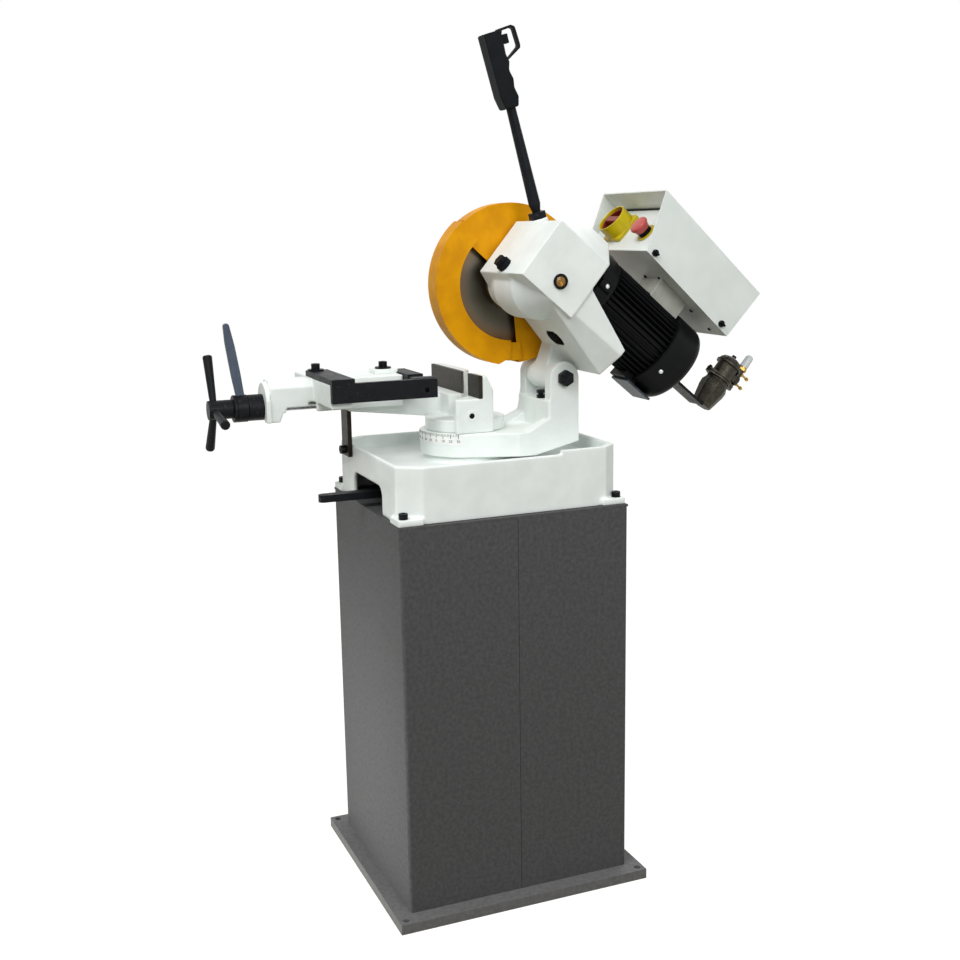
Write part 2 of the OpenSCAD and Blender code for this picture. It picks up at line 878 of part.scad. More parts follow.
// Repeats a piece on the clamping face at each jaw plate screw, with +Z out of the face
module at_jaw_screws() {
    for (x = [jaw_far_x + far_back, (jaw_far_x + slot_far_x) / 2, slot_far_x - 2 * far_back])
        translate([x, jaw_y + jaw_t, table_z + jaw_h / 2]) children();
    translate([(slot_near_x + jaw_near_x) / 2, jaw_y + jaw_t, table_z + jaw_h / 2]) children();
}

module fixed_jaw_plates() color("#4a463f") difference() {
    union() {
        translate([0, 0, table_z]) linear_extrude(jaw_h) intersection() {
            far_plan(jaw_y, jaw_y + jaw_t + far_back);
            translate([jaw_far_x, jaw_y]) square([-jaw_far_x, jaw_t]);
        }
        block([slot_near_x, jaw_y, table_z], [jaw_near_x, jaw_y + jaw_t, jaw_top]);
    }
    at_jaw_screws() rotate([90, 0, 0]) {
        translate([0, 0, -over]) cylinder(r = jaw_screw_r + run_gap, h = jaw_t + 2 * over);
        translate([0, 0, jaw_t / 2]) cylinder(r = jaw_screw_head_r + run_gap, h = jaw_t);
    }
}

module jaw_plate_screws() color("#1b1b1d") at_jaw_screws() rotate([90, 0, 0]) {
    translate([0, 0, -jaw_t]) cylinder(r = jaw_screw_r, h = jaw_t + jaw_t / 2);
    translate([0, 0, jaw_t / 2]) cylinder(r = jaw_screw_head_r, h = jaw_t / 2 - jaw_screw_sink);
}

module vise_strut() color("#3a352e") difference() {
    block([strut_x - strut_w / 2, tray_front - strut_t, strut_low],
        [strut_x + strut_w / 2, tray_front, strut_top]);
    bar_y(m10_hole_r, tray_front - strut_t - over, tray_front + over, strut_x, strut_low + strut_bolt_up);
}

// The strut reaches up to the slideway's sloping underside
strut_top = way_top - way_t - (way_heel_t - way_t) * (tray_front - way_front) / way_len - face_gap;

module strut_bolt() color("#1b1b1d") translate([strut_x, tray_front - strut_t, strut_low + strut_bolt_up])
    rotate([90, 0, 0])
        cap_screw(m10_r, strut_t + tray_wall, m10_head_r, m10_head_h, m10_key_r, m10_key_depth);

module vise_nut() color("#b08d4a") difference() {
    block([vise_x - nut_r, jaw_y - nut_front, way_top - groove_d],
        [vise_x + nut_r, jaw_y - nut_front + nut_len, screw_z + nut_r]);
    bar_y(screw_r + run_gap, jaw_y - nut_front - over, jaw_y - nut_front + nut_len + over, vise_x, screw_z);
}

// Vise slide

// The slide closes until its jaws nearly meet the fixed ones
slide_travel = jaw_gap - jaw_clear;
slide_rear = jaw_y - jaw_gap - far_block_t;
cross_y0 = jaw_y - cross_reach;
nose_front = cross_y0 - nose_len;

module vise_slide() color("#e9eae6") difference() {
    union() {
        block([way_x0 - slide_wing, cross_y0, way_top - slide_skirt], [way_x1 + slide_wing, slide_rear, slide_top]);
        block([cross_far_x, cross_y0, way_top], [cross_near_x, cross_y0 + cross_t, slide_top]);
        along_y(nose_front, cross_y0 + over) polygon([[vise_x - nose_r, way_top - slide_skirt],
            [vise_x + nose_r, way_top - slide_skirt], [vise_x + nose_r, slide_top - nose_chamfer],
            [vise_x + nose_r - nose_chamfer, slide_top], [vise_x - nose_r + nose_chamfer, slide_top],
            [vise_x - nose_r, slide_top - nose_chamfer]]);
        block([vise_x - nose_r, nose_front, way_top - nose_drop], [vise_x + nose_r, way_front - slide_travel - over,
            slide_top - nose_r]);
        bar_y(flange_w / 2, nose_front - flange_t, nose_front, vise_x, slide_top - flange_dip - flange_w / 2);
        block([vise_x - flange_w / 2, nose_front - flange_t, way_top - flange_drop],
            [vise_x + flange_w / 2, nose_front, slide_top - flange_dip - flange_w / 2]);
    }
    block([way_x0 - face_gap, way_front - slide_travel - over, way_top - slide_skirt - over],
        [way_x1 + face_gap, slide_rear + over, way_top + face_gap]);
    block([vise_x - groove_w / 2, cross_y0 - over, way_top], [vise_x + groove_w / 2, slide_rear + over,
        screw_z + nut_r + face_gap]);
    bar_y(screw_r + run_gap, nose_front - flange_t - over, cross_y0 + over, vise_x, screw_z);
    at_arm_bolts() translate([0, 0, -2 * m10_grip]) cylinder(r = m10_hole_r, h = 2 * m10_grip + over);
}

// Repeats a piece on top of the slide at the near arm's bolt and the far block's bolt
near_bolt_x = vise_x - arm_bolt_in / 2;
near_bolt_y = cross_y0 + arm_bolt_in;
module at_arm_bolts() {
    translate([near_bolt_x, near_bolt_y, slide_top]) children();
    translate([vise_x, slide_rear - far_tongue_len / 2, slide_top]) children();
}

module near_jaw_arm() color("#1f2022") difference() {
    jaw_end = jaw_y - jaw_gap;
    union() {
        block([near_bolt_x - arm_bolt_in, cross_y0, slide_top], [arm_near_x, cross_y0 + arm_top_w,
            slide_top + arm_top_t]);
        block([arm_near_x - arm_t, cross_y0, table_z + arm_low], [arm_near_x, jaw_end, slide_top + over]);
        block([arm_near_x - arm_t - arm_pad_w, jaw_end - arm_pad_len, table_z + arm_low],
            [arm_near_x - arm_t + over, jaw_end, jaw_top]);
        bar_x(pin_r, arm_near_x - over, arm_near_x + pin_proud, jaw_end - arm_pad_len / 2, jaw_top - jaw_h / 2);
    }
    translate([near_bolt_x, near_bolt_y, slide_top - over]) cylinder(r = m10_hole_r, h = arm_top_t + 2 * over);
}

module far_jaw_block() color("#1f2022") difference() {
    union() {
        block([far_block_near_x - far_block_w, slide_rear, table_z + arm_low],
            [far_block_near_x, slide_rear + far_block_t, jaw_top]);
        block([vise_x - far_tongue_w / 2, slide_rear - far_tongue_len, slide_top],
            [vise_x + far_tongue_w / 2, slide_rear + over, slide_top + far_tongue_t]);
    }
    translate([vise_x, slide_rear - far_tongue_len / 2, slide_top - over])
        cylinder(r = m10_hole_r, h = far_tongue_t + 2 * over);
}

module jaw_arm_bolts() color("#1b1b1d") {
    translate([near_bolt_x, near_bolt_y, slide_top + arm_top_t]) washered_bolt();
    translate([vise_x, slide_rear - far_tongue_len / 2, slide_top + far_tongue_t]) washered_bolt();
}

module washered_bolt() {
    difference() {
        cylinder(r = washer_r, h = washer_t);
        translate([0, 0, -over]) cylinder(r = m10_r, h = washer_t + 2 * over);
    }
    translate([0, 0, washer_t]) cap_screw(m10_r, 2 * m10_grip, m10_head_r, m10_head_h, m10_key_r, m10_key_depth);
}

// Vise screw, quick clamp and handwheel

clamp_y1 = nose_front - flange_t;
clamp_y0 = clamp_y1 - clamp_len;
hub_y0 = clamp_y0 - collar_len - hub_len;
screw_end = groove_end - slide_travel - over;

module vise_screw() color("#9a9da0") bar_y(screw_r, hub_y0 + hub_len / 2, screw_end, vise_x, screw_z);

module clamp_housing() color("#26272a") difference() {
    bar_y(clamp_r, clamp_y0 + face_gap, clamp_y1, vise_x, screw_z);
    bar_y(screw_r + run_gap, clamp_y0 - over, clamp_y1 + over, vise_x, screw_z);
}

module clamp_lever() color("#3a4048") difference() {
    union() {
        bar_y(collar_r, clamp_y0 - collar_len + face_gap, clamp_y0, vise_x, screw_z);
        translate([vise_x, clamp_y0 - lever_in, screw_z]) rotate([lever_lean, 0, 0]) {
            block([-lever_t / 2, -lever_w / 2, 0], [lever_t / 2, lever_w / 2, lever_len - lever_w / 2]);
            bar_x(lever_w / 2, -lever_t / 2, lever_t / 2, 0, lever_len - lever_w / 2);
        }
    }
    bar_y(screw_r + run_gap, clamp_y0 - collar_len - lever_len, clamp_y0 + over, vise_x, screw_z);
}

module handwheel_hub() color("#2c2d30") difference() {
    bar_y(hub_r, hub_y0, hub_y0 + hub_len, vise_x, screw_z);
    bar_y(screw_r + run_gap, hub_y0 + hub_len / 2, hub_y0 + hub_len + over, vise_x, screw_z);
    at_spokes() translate([0, 0, hub_r / 2]) cylinder(r = spoke_r + run_gap, h = hub_r);
}

// Repeats a piece at each spoke, with +Z outwards from the screw axis
module at_spokes() {
    for (i = [0 : spoke_count - 1])
        translate([vise_x, hub_y0 + hub_len / 4, screw_z])
            rotate([0, 360 * i / spoke_count - spoke_first, 0]) children();
}

module handwheel_spokes() color("#2c2d30") at_spokes() {
    translate([0, 0, hub_r / 2]) cylinder(r = spoke_r, h = hub_r);
    translate([0, 0, hub_r]) cylinder(r1 = spoke_r, r2 = spoke_end_r, h = spoke_len / 2);
    translate([0, 0, hub_r + spoke_len / 2]) cylinder(r = spoke_end_r, h = spoke_len / 2 - hub_r);
}

// Gearbox casting

// The underside falls in one slope from the spindle's axis to the rear end
module tail_profile() {
    polygon([[-blade_reach, gear_low], [tail_rear, tail_low], [tail_rear, tail_high], [gear_rear, tail_peak_z],
        [tail_step_y, tail_step_z], [-blade_reach, tail_step_z]]);
}

module tail_section() {
    x1 = gear_x1 - tail_in;
    polygon([[gear_x0, tail_low], [x1 - tail_round_x, tail_low], [x1, tail_end_z], [x1, tail_peak_z],
        [x1 - tail_wall, tail_peak_z], [x1 - tail_wall, tail_floor_z], [gear_x0, tail_floor_z]]);
}

// Round seat for the motor's flange, on a cone that rises from the gearbox block
module motor_bell() {
    bar_y(bell_r, gear_rear - bell_len, gear_rear, motor_x, motor_z);
    translate([motor_x, gear_rear - bell_len - bell_blend, motor_z]) rotate([-90, 0, 0])
        cylinder(r1 = bell_root_r, r2 = bell_r, h = bell_blend);
}

module gearbox_casting() color("#e6e7e3") head() difference() {
    union() {
        block([gear_x0, -gear_front, gear_low], [gear_x1, gear_rear, gear_top]);
        intersection() {
            along_x(gear_x0, gear_x1) tail_profile();
            along_y(-blade_reach, tail_rear) tail_section();
        }
        translate([gear_x0, -blade_reach, blade_rise]) rotate([0, 90, 0])
            cylinder(r1 = cover_r, r2 = belly_r, h = motor_x - belly_half - gear_x0);
        along_x(gear_x0, motor_x + belly_half) polygon([[-gear_front, gear_low], [-blade_reach, blade_rise - cover_r],
            [-blade_reach, gear_low + over]]);
        intersection() {
            motor_bell();
            block([gear_x0, -gear_front, 0], [gear_x1, gear_rear, motor_z + 2 * bell_r]);
        }
        bar_x(belly_r, motor_x - belly_half, motor_x + belly_half, -blade_reach, blade_rise);
        translate([motor_x + belly_half, -blade_reach, blade_rise]) rotate([0, 90, 0])
            cylinder(r1 = belly_r, r2 = blade_rise - gear_low, h = gear_x1 - motor_x - belly_half);
        along_x(neck_x0, neck_x0 + neck_w) polygon([[-barrel_r, 0], [neck_front, neck_top],
            [neck_rear, neck_top], [barrel_r, 0]]);
        bar_x(barrel_r, ear_far_x + ear_t + face_gap, ear_near_x - ear_t - face_gap, 0, 0);
        translate([handle_x, handle_foot_y, gear_top]) rotate([90 - handle_tilt, 0, 0])
            translate([0, 0, -foot_boss_h]) cylinder(r = foot_boss_r, h = 2 * foot_boss_h);
    }
    bar_x(pivot_r + run_gap, ear_far_x, ear_near_x, 0, 0);
    bar_x(cover_bore_r + run_gap, gear_x0 - over, motor_x + wheel_half + cavity_gap, -blade_reach, blade_rise);
    bar_x(bearing_r, motor_x, motor_x + wheel_half + cavity_gap + bearing_t, -blade_reach, blade_rise);
    bar_x(spindle_r + wheel_air, motor_x, motor_x + wheel_half + bearing_t + 2 * cavity_gap, -blade_reach, blade_rise);
    bar_y(worm_r + cavity_gap, 2 * cavity_gap - gear_front, gear_rear + over, motor_x, motor_z);
    bar_y(fin_r + shield_lip + face_gap, gear_rear, motor_y2, motor_x, motor_z);
    bar_y(cap_stub_r + run_gap, -gear_front - over, -blade_reach, cap_x, cap_z);
    bar_x(glass_r + run_gap, motor_x, gear_x1 + over, glass_y, glass_z);
    translate([handle_x, handle_foot_y, gear_top]) rotate([90 - handle_tilt, 0, 0])
        translate([0, 0, foot_boss_h - rod_root]) cylinder(r = rod_neck_r + run_gap, h = rod_root + over);
    for (sx = [-1, 1]) translate([oval_x + sx * oval_len / 2, oval_y, 0]) cylinder(r = oval_r, h = tail_floor_z - oval_skin);
    block([oval_x - oval_len / 2, oval_y - oval_r, 0], [oval_x + oval_len / 2, oval_y + oval_r, tail_floor_z - oval_skin]);
}

module spindle_cover() color("#c9cac6") head() difference() {
    union() {
        bar_x(cover_r, guard_near_x, gear_x0, -blade_reach, blade_rise);
        bar_x(cover_bore_r, gear_x0, gear_x0 + cover_plug, -blade_reach, blade_rise);
    }
    bar_x(spindle_r + run_gap, guard_near_x - over, gear_x0 + cover_plug + over, -blade_reach, blade_rise);
    bar_x(bearing_r, gear_x0 + cover_plug - bearing_t, gear_x0 + cover_plug + over, -blade_reach, blade_rise);
}

module spindle_bearings() color("#a8abae") head() for (x = [gear_x0 + cover_plug - bearing_t,
    motor_x + wheel_half + cavity_gap]) difference() {
    bar_x(bearing_r, x, x + bearing_t, -blade_reach, blade_rise);
    bar_x(spindle_r + run_gap, x - over, x + bearing_t + over, -blade_reach, blade_rise);
}

module spindle() color("#9a9da0") head() difference() {
    union() {
        bar_x(spindle_r, blade_t / 2 + flange_in_t, motor_x + wheel_half + cavity_gap + bearing_t, -blade_reach,
            blade_rise);
        bar_x(flange_r, blade_t / 2, blade_t / 2 + flange_in_t, -blade_reach, blade_rise);
        bar_x(blade_bore_r, -blade_t / 2, blade_t, -blade_reach, blade_rise);
    }
    bar_x(blade_bolt_r + run_gap, -blade_t, gear_x0 + cover_plug, -blade_reach, blade_rise);
}

module worm_wheel() color("#b08d4a") head() difference() {
    bar_x(wheel_r, motor_x - wheel_half, motor_x + wheel_half, -blade_reach, blade_rise);
    bar_x(spindle_r + run_gap, motor_x - wheel_half - over, motor_x + wheel_half + over, -blade_reach, blade_rise);
}

module blade() color("#4a4a48") head() translate([0, -blade_reach, blade_rise]) difference() {
    along_x(-blade_t / 2, blade_t / 2) polygon([for (i = [0 : blade_teeth - 1], edge = [0, 1])
        (blade_r - edge * tooth_h) * [cos(360 * i / blade_teeth), sin(360 * i / blade_teeth)]]);
    bar_x(blade_bore_r + run_gap, -blade_t, blade_t, 0, 0);
}

module blade_flange() color("#7d8083") head() difference() {
    bar_x(flange_r, -blade_t / 2 - flange_out_t, -blade_t / 2, -blade_reach, blade_rise);
    bar_x(blade_bolt_r + run_gap, -blade_t - flange_out_t - over, 0, -blade_reach, blade_rise);
}

module blade_bolt() color("#1b1b1d") head() {
    seat = -blade_t / 2 - flange_out_t;
    bar_x(blade_bolt_r, seat, gear_x0, -blade_reach, blade_rise);
    translate([seat - blade_bolt_head_h, -blade_reach, blade_rise]) rotate([0, 90, 0])
        cylinder(r = blade_bolt_head_r, h = blade_bolt_head_h, $fn = hex_sides);
}

// Guards, about the blade axis

module at_blade() {
    head() translate([0, -blade_reach, blade_rise]) children();
}

module ring_sector(r_in, r_out, a0, a1) difference() {
    sector(r_out, a0, a1);
    circle(r_in);
}

module fixed_guard() color("#f2a900") at_blade() difference() {
    union() {
        along_x(guard_far_x, guard_near_x) ring_sector(guard_r - guard_sheet, guard_r, guard_rear_a, guard_front_a);
        along_x(guard_near_x - guard_sheet, guard_near_x) sector(guard_r, guard_rear_a, guard_window_a);
        along_x(guard_far_x, guard_far_x + guard_sheet) sector(guard_r, guard_rear_a, guard_window_a);
        along_x(guard_far_x, guard_far_x + guard_sheet) circle(shield_hub_r);
        along_x(guard_near_x - guard_sheet, guard_near_x) circle(cover_r);
        bar_x(stud_r, guard_far_x - stud_len, guard_far_x + guard_sheet / 2, 0, 0);
        bar_x(stud_cap_r, guard_far_x - stud_len - stud_cap_t, guard_far_x - stud_len, 0, 0);
    }
    bar_x(guard_bore_r, guard_near_x - guard_sheet - over, guard_near_x + over, 0, 0);
}

module shield_edge() polygon([[0, 0], 2 * shield_r * [cos(shield_end_a), sin(shield_end_a)],
    shield_r * [cos(shield_end_a), sin(shield_end_a)], shield_lip_r * [cos(shield_lip_a), sin(shield_lip_a)],
    shield_in_r / 2 * [cos(shield_lip_a), sin(shield_lip_a)]]);

module shield_side(r_in) difference() {
    union() {
        ring_sector(r_in, shield_r, shield_start_a, shield_end_a);
        intersection() {
            ring_sector(r_in, shield_r, shield_end_a, shield_lip_a);
            shield_edge();
        }
    }
}

module moving_guard() color("#f5b301") at_blade() difference() {
    union() {
        along_x(shield_far_x, shield_near_x)
            ring_sector(shield_r - shield_sheet, shield_r, shield_start_a, shield_end_a);
        along_x(shield_near_x - shield_sheet, shield_near_x) shield_side(shield_in_r);
        along_x(shield_far_x, shield_far_x + shield_sheet) shield_side(shield_in_r);
        along_x(shield_far_x, shield_far_x + shield_sheet) intersection() {
            sector(shield_in_r + over, shield_start_a, shield_lip_a);
            rotate((shield_start_a + shield_end_a) / 2) translate([0, -shield_arm_w / 2])
                square([shield_in_r + over, shield_arm_w]);
        }
        bar_x(shield_hub_r, shield_far_x, shield_far_x + shield_sheet, 0, 0);
    }
    bar_x(stud_r + run_gap, shield_far_x - over, shield_far_x + shield_sheet + over, 0, 0);
}

module filler_cap() color("#1f2022") head() {
    bar_y(cap_stub_r, -gear_front, cap_h - gear_front, cap_x, cap_z);
    bar_y(cap_r, -gear_front - cap_h, -gear_front, cap_x, cap_z);
    translate([cap_x, -gear_front - cap_h, cap_z]) rotate([90, 0, 0])
        cylinder(r = cap_hex_r, h = cap_hex_h, $fn = hex_sides);
}

module sight_glass_ring() color("#3a3a38") head() difference() {
    bar_x(glass_ring_r, gear_x1, gear_x1 + glass_ring_t, glass_y, glass_z);
    bar_x(glass_r + run_gap, gear_x1 - over, gear_x1 + glass_ring_t + over, glass_y, glass_z);
}

module sight_glass() color("#c9a640") head()
    bar_x(glass_r, gear_x1 - glass_ring_t, gear_x1 + glass_ring_t - glass_t, glass_y, glass_z);

// Handle with its trigger grip

rod_z = foot_boss_h + handle_nut_h;
grip_z = rod_z + rod_len;

module handle_nut() color("#26272a") on_handle() difference() {
    translate([0, 0, foot_boss_h]) cylinder(r = handle_nut_r, h = handle_nut_h, $fn = hex_sides);
    cylinder(r = rod_neck_r + run_gap, h = grip_z);
}

module handle_rod() color("#26272a") on_handle() {
    translate([0, 0, foot_boss_h - rod_root]) cylinder(r = rod_neck_r, h = rod_root + handle_nut_h);
    translate([0, 0, rod_z]) cylinder(r1 = rod_neck_r, r2 = rod_r, h = rod_taper);
    translate([0, 0, rod_z + rod_taper]) cylinder(r1 = rod_r, r2 = rod_tip_r, h = rod_len - rod_taper);
    translate([0, 0, grip_z]) cylinder(r = rod_tip_r, h = rod_in_grip);
}

// Side outline of the grip: X is the depth, with the fingers at +X, and Y runs up the grip
module grip_outline() {
    difference() {
        polygon([[grip_d / 2 - grip_heel, 0], [grip_d / 2, 0], [grip_d / 2, grip_len], [-grip_d / 2, grip_len],
            [-grip_d / 2, grip_heel]]);
        for (i = [0 : grip_notches - 1])
            translate([grip_d / 2 + grip_notch_r - grip_notch_depth, grip_notch_first + i * grip_notch_step])
                circle(grip_notch_r);
        translate([grip_d / 2 - trigger_h, trigger_at - trigger_len / 2 - face_gap])
            square([trigger_h + over, trigger_len + 2 * face_gap]);
    }
}

module loop_outline() {
    reach = grip_d / 2 + loop_out;
    difference() {
        polygon([[0, grip_len], [reach - loop_out / 4, grip_len], [reach, grip_len - loop_out / 4],
            [reach, grip_len - loop_len / 2], [grip_d / 2 - grip_notch_depth, grip_len - loop_len - loop_t], [0,
            grip_len - loop_len - loop_t]]);
        polygon([[-grip_d, grip_len - loop_t], [reach - loop_out / 4 - loop_t / 2, grip_len - loop_t],
            [reach - loop_t, grip_len - loop_out / 4 - loop_t / 2], [reach - loop_t, grip_len - loop_len / 2 + loop_t / 2],
            [grip_d / 2 - grip_notch_depth, grip_len - loop_len + loop_t], [-grip_d, grip_len - loop_len + loop_t]]);
    }
}

module grip_half(side) on_handle() translate([0, 0, grip_z]) difference() {
    intersection() {
        rotate([90, 0, 90]) translate([0, 0, -grip_w / 2]) {
            linear_extrude(grip_w) grip_outline();
            translate([0, 0, (grip_w - loop_w) / 2]) linear_extrude(loop_w) loop_outline();
        }
        translate([side > 0 ? grip_split / 2 : -grip_w, -grip_len, 0]) cube([grip_w - grip_split / 2, 2 * grip_len,
            grip_len + over]);
    }
    translate([0, 0, -over]) cylinder(r = rod_tip_r + run_gap, h = rod_in_grip + over + face_gap);
}

module grip_left() color("#202124") grip_half(-1);

module grip_right() color("#202124") grip_half(1);

module trigger() color("#17181a") on_handle() translate([0, 0, grip_z + trigger_at])
    block([-trigger_w / 2, grip_d / 2 - trigger_h + trigger_travel + face_gap, -trigger_len / 2],
        [trigger_w / 2, grip_d / 2 + trigger_h / 2, trigger_len / 2]);

// Motor

motor_y0 = gear_rear;
motor_y1 = motor_y0 + flange_h;
motor_y2 = motor_y1 + motor_len;
fan_y1 = motor_y2 + fan_len;
motor_foot_y = motor_y2 - motor_foot_in;
terminal_y = motor_y2 - shield_plate_t - terminal_gap - terminal_len;
pump_y = fan_y1 + pump_out;

module at_motor() {
    head() translate([motor_x, 0, motor_z]) children();
}

module fin_outline() {
    step = 360 / fin_count;
    polygon([for (i = [0 : fin_count - 1], p = [[fin_root_r, -1], [fin_r, -fin_tip_share], [fin_r, fin_tip_share], [fin_root_r, 1]])
        p[0] * [cos(step * (i + p[1] / 4)), sin(step * (i + p[1] / 4))]]);
}

module motor_housing() color("#17181a") at_motor() difference() {
    union() {
        along_y(motor_y1, motor_y2) fin_outline();
        intersection() {
            block([-flange_side / 2, motor_y0, -flange_side / 2], [flange_side / 2, motor_y1, flange_side / 2]);
            bar_y(fin_r + shield_lip, motor_y0, motor_y1, 0, 0);
        }
        bar_y(fin_r + shield_lip, motor_y1 - over, motor_y1 + shield_plate_t, 0, 0);
        bar_y(fan_r - cover_sheet, motor_y2 - shield_plate_t, motor_y2, 0, 0);
        block([-motor_foot_w / 2, motor_foot_y, motor_foot_z - motor_z], [motor_foot_w / 2,
            motor_foot_y + motor_foot_len, motor_foot_z - motor_z + motor_foot_t]);
        block([-motor_foot_w / 4, motor_foot_y, motor_foot_z - motor_z], [motor_foot_w / 4,
            motor_y2 - shield_plate_t - face_gap, -fin_root_r]);
    }
    bar_y(stator_r + run_gap, motor_y1 + shield_plate_t, motor_y2 - shield_plate_t, 0, 0);
    bar_y(shaft_r + run_gap, motor_y0 - over, motor_y2 + over, 0, 0);
}

module motor_stator() color("#8b5a2b") at_motor() difference() {
    mid = (motor_y1 + motor_y2) / 2;
    bar_y(stator_r, mid - stator_len / 2, mid + stator_len / 2, 0, 0);
    bar_y(rotor_r + rotor_air, mid - stator_len, mid + stator_len, 0, 0);
}

module motor_rotor() color("#9a9da0") at_motor() {
    mid = (motor_y1 + motor_y2) / 2;
    bar_y(rotor_r, mid - rotor_len / 2, mid + rotor_len / 2, 0, 0);
    bar_y(shaft_r, motor_y0 - over, fan_y1 - fan_depth / 2, 0, 0);
    bar_y(worm_r, 3 * cavity_gap - gear_front, motor_y0 - over, 0, 0);
}

module motor_fan() color("#2a2b2e") at_motor() difference() {
    union() {
        bar_y(fan_hub_r, motor_y2 + fan_off, motor_y2 + fan_off + fan_depth, 0, 0);
        bar_y(fan_disc_r, motor_y2 + fan_off, motor_y2 + fan_off + fan_disc_t, 0, 0);
        for (i = [0 : fan_blades - 1]) rotate([0, 360 * i / fan_blades, 0])
            block([fan_hub_r / 2, motor_y2 + fan_off, -fan_blade_t / 2],
                [fan_disc_r, motor_y2 + fan_off + fan_depth, fan_blade_t / 2]);
    }
    bar_y(shaft_r + run_gap, motor_y2, fan_y1, 0, 0);
}

module fan_cover() color("#141517") at_motor() difference() {
    union() {
        bar_y(fan_r, motor_y2 - shield_plate_t, fan_y1 - fan_round, 0, 0);
        translate([0, fan_y1 - fan_round, 0]) rotate([-90, 0, 0])
            cylinder(r1 = fan_r, r2 = fan_r - fan_round, h = fan_round);
    }
    bar_y(fan_r - cover_sheet, motor_y2 - shield_plate_t - over, fan_y1 - fan_round, 0, 0);
    bar_y(fan_r - fan_round - cover_sheet, motor_y2, fan_y1 - cover_sheet, 0, 0);
}

// Height of the electric box's sloping underside
function box_low(y) = ebox_z0 - (y - ebox_y0) * tan(ebox_tilt);

module terminal_block() color("#b9bab4") head() difference() {
    end = terminal_y + terminal_len;
    along_x(motor_x - terminal_w / 2, motor_x + terminal_w / 2) polygon([[terminal_y, motor_z + fin_root_r - over],
        [terminal_y, box_low(terminal_y)], [end, box_low(end)], [end, motor_z + fin_root_r - over]]);
    bar_y(fin_r + run_gap, terminal_y - over, end + over, motor_x, motor_z);
}

// Electric box and its controls

module ebox_outline(inset) polygon([[inset, inset], [inset - ebox_hood, ebox_h - inset],
    [ebox_len - inset, ebox_h - inset], [ebox_len - inset, inset]]);

module electric_box() color("#e3e6e1") on_box() {
    difference() {
        along_x(ebox_x0, ebox_x1) ebox_outline(0);
        along_x(ebox_x0 + ebox_sheet, ebox_x1 - ebox_sheet) polygon([[-ebox_hood - over, ebox_sheet],
            [-ebox_hood - over, ebox_h - ebox_sheet], [ebox_len - ebox_sheet, ebox_h - ebox_sheet],
            [ebox_len - ebox_sheet, ebox_sheet]]);
        translate([ebox_x1, 0, 0]) at_box_screws() bar_x(wing_screw_r + run_gap, -ebox_sheet - over, over, 0, 0);
    }
    difference() {
        block([ebox_x0, 0, 0], [ebox_x1, panel_t, ebox_h]);
        bar_y(knob_stem_r + run_gap, -over, panel_t + over, switch_x, switch_up);
        bar_y(estop_stem_r + run_gap, -over, panel_t + over, estop_x, estop_up);
    }
}

// Repeats a piece at the two screws along the box's lower edge
module at_box_screws() {
    for (y = [wing_in, ebox_len - wing_rear_in]) translate([0, y, wing_up]) children();
}

module switch_plate() color("#d9c91e") on_box() difference() {
    union() {
        block([switch_x - switch_plate / 2, -switch_plate_t, switch_up - switch_plate / 2],
            [switch_x + switch_plate / 2, 0, switch_up + switch_plate / 2]);
        bar_y(switch_ring_r, -switch_plate_t - switch_ring_h, -switch_plate_t, switch_x, switch_up);
    }
    bar_y(switch_ring_r - switch_ring_t, -switch_plate_t - switch_ring_h - over, -switch_plate_t, switch_x, switch_up);
    bar_y(knob_stem_r + run_gap, -switch_plate_t - over, over, switch_x, switch_up);
}

module switch_knob() color("#8c2a22") on_box() translate([switch_x, 0, switch_up]) {
    bar_y(knob_stem_r, -switch_plate_t - face_gap, panel_t, 0, 0);
    bar_y(knob_r, -switch_plate_t - knob_h + knob_grip_h, -switch_plate_t - face_gap, 0, 0);
    block([-knob_r + knob_grip_w / 4, -switch_plate_t - knob_h, -knob_grip_w / 2],
        [knob_r - knob_grip_w / 4, -switch_plate_t - knob_h + knob_grip_h + over, knob_grip_w / 2]);
}

module estop_collar() color("#d9b51e") on_box() difference() {
    union() {
        bar_y(estop_ring_r, -estop_ring_t, 0, estop_x, estop_up);
        bar_y(estop_neck_r, -estop_ring_t - estop_neck_h, -estop_ring_t, estop_x, estop_up);
    }
    bar_y(estop_stem_r + run_gap, -estop_ring_t - estop_neck_h - over, over, estop_x, estop_up);
}

module estop_button() color("#c8372d") on_box() {
    skirt = -estop_ring_t - estop_travel - face_gap;
    bar_y(estop_stem_r, skirt - estop_skirt_h, panel_t, estop_x, estop_up);
    difference() {
        union() {
            bar_y(estop_skirt_r, skirt - estop_skirt_h, skirt, estop_x, estop_up);
            bar_y(estop_cap_r, skirt - estop_skirt_h - estop_cap_h, skirt - estop_skirt_h, estop_x, estop_up);
        }
        bar_y(estop_neck_r + face_gap, skirt - estop_neck_h, skirt + over, estop_x, estop_up);
    }
}

module box_screws() color("#1b1b1d") on_box() translate([ebox_x1, 0, 0]) at_box_screws() {
    bar_x(wing_screw_r, -ebox_sheet, wing_t, 0, 0);
    bar_x(wing_r, wing_t / 2, wing_t + wing_t / 2, 0, 0);
    block([wing_t, -wing_r, -wing_t / 2], [wing_t + wing_r, wing_r, wing_t / 2]);
}

// Coolant pump on its bracket behind the motor

module pump_bracket() color("#1d1e20") head() {
    x0 = motor_x - pump_bracket_w / 2;
    x1 = motor_x + pump_bracket_w / 2;
    block([x0, fan_y1, pump_bracket_z], [x1, fan_y1 + pump_bracket_t, pump_bracket_z + pump_bracket_h]);
    block([x0, fan_y1, pump_bracket_z], [x1, fan_y1 + pump_bracket_len, pump_bracket_z + pump_bracket_t]);
}

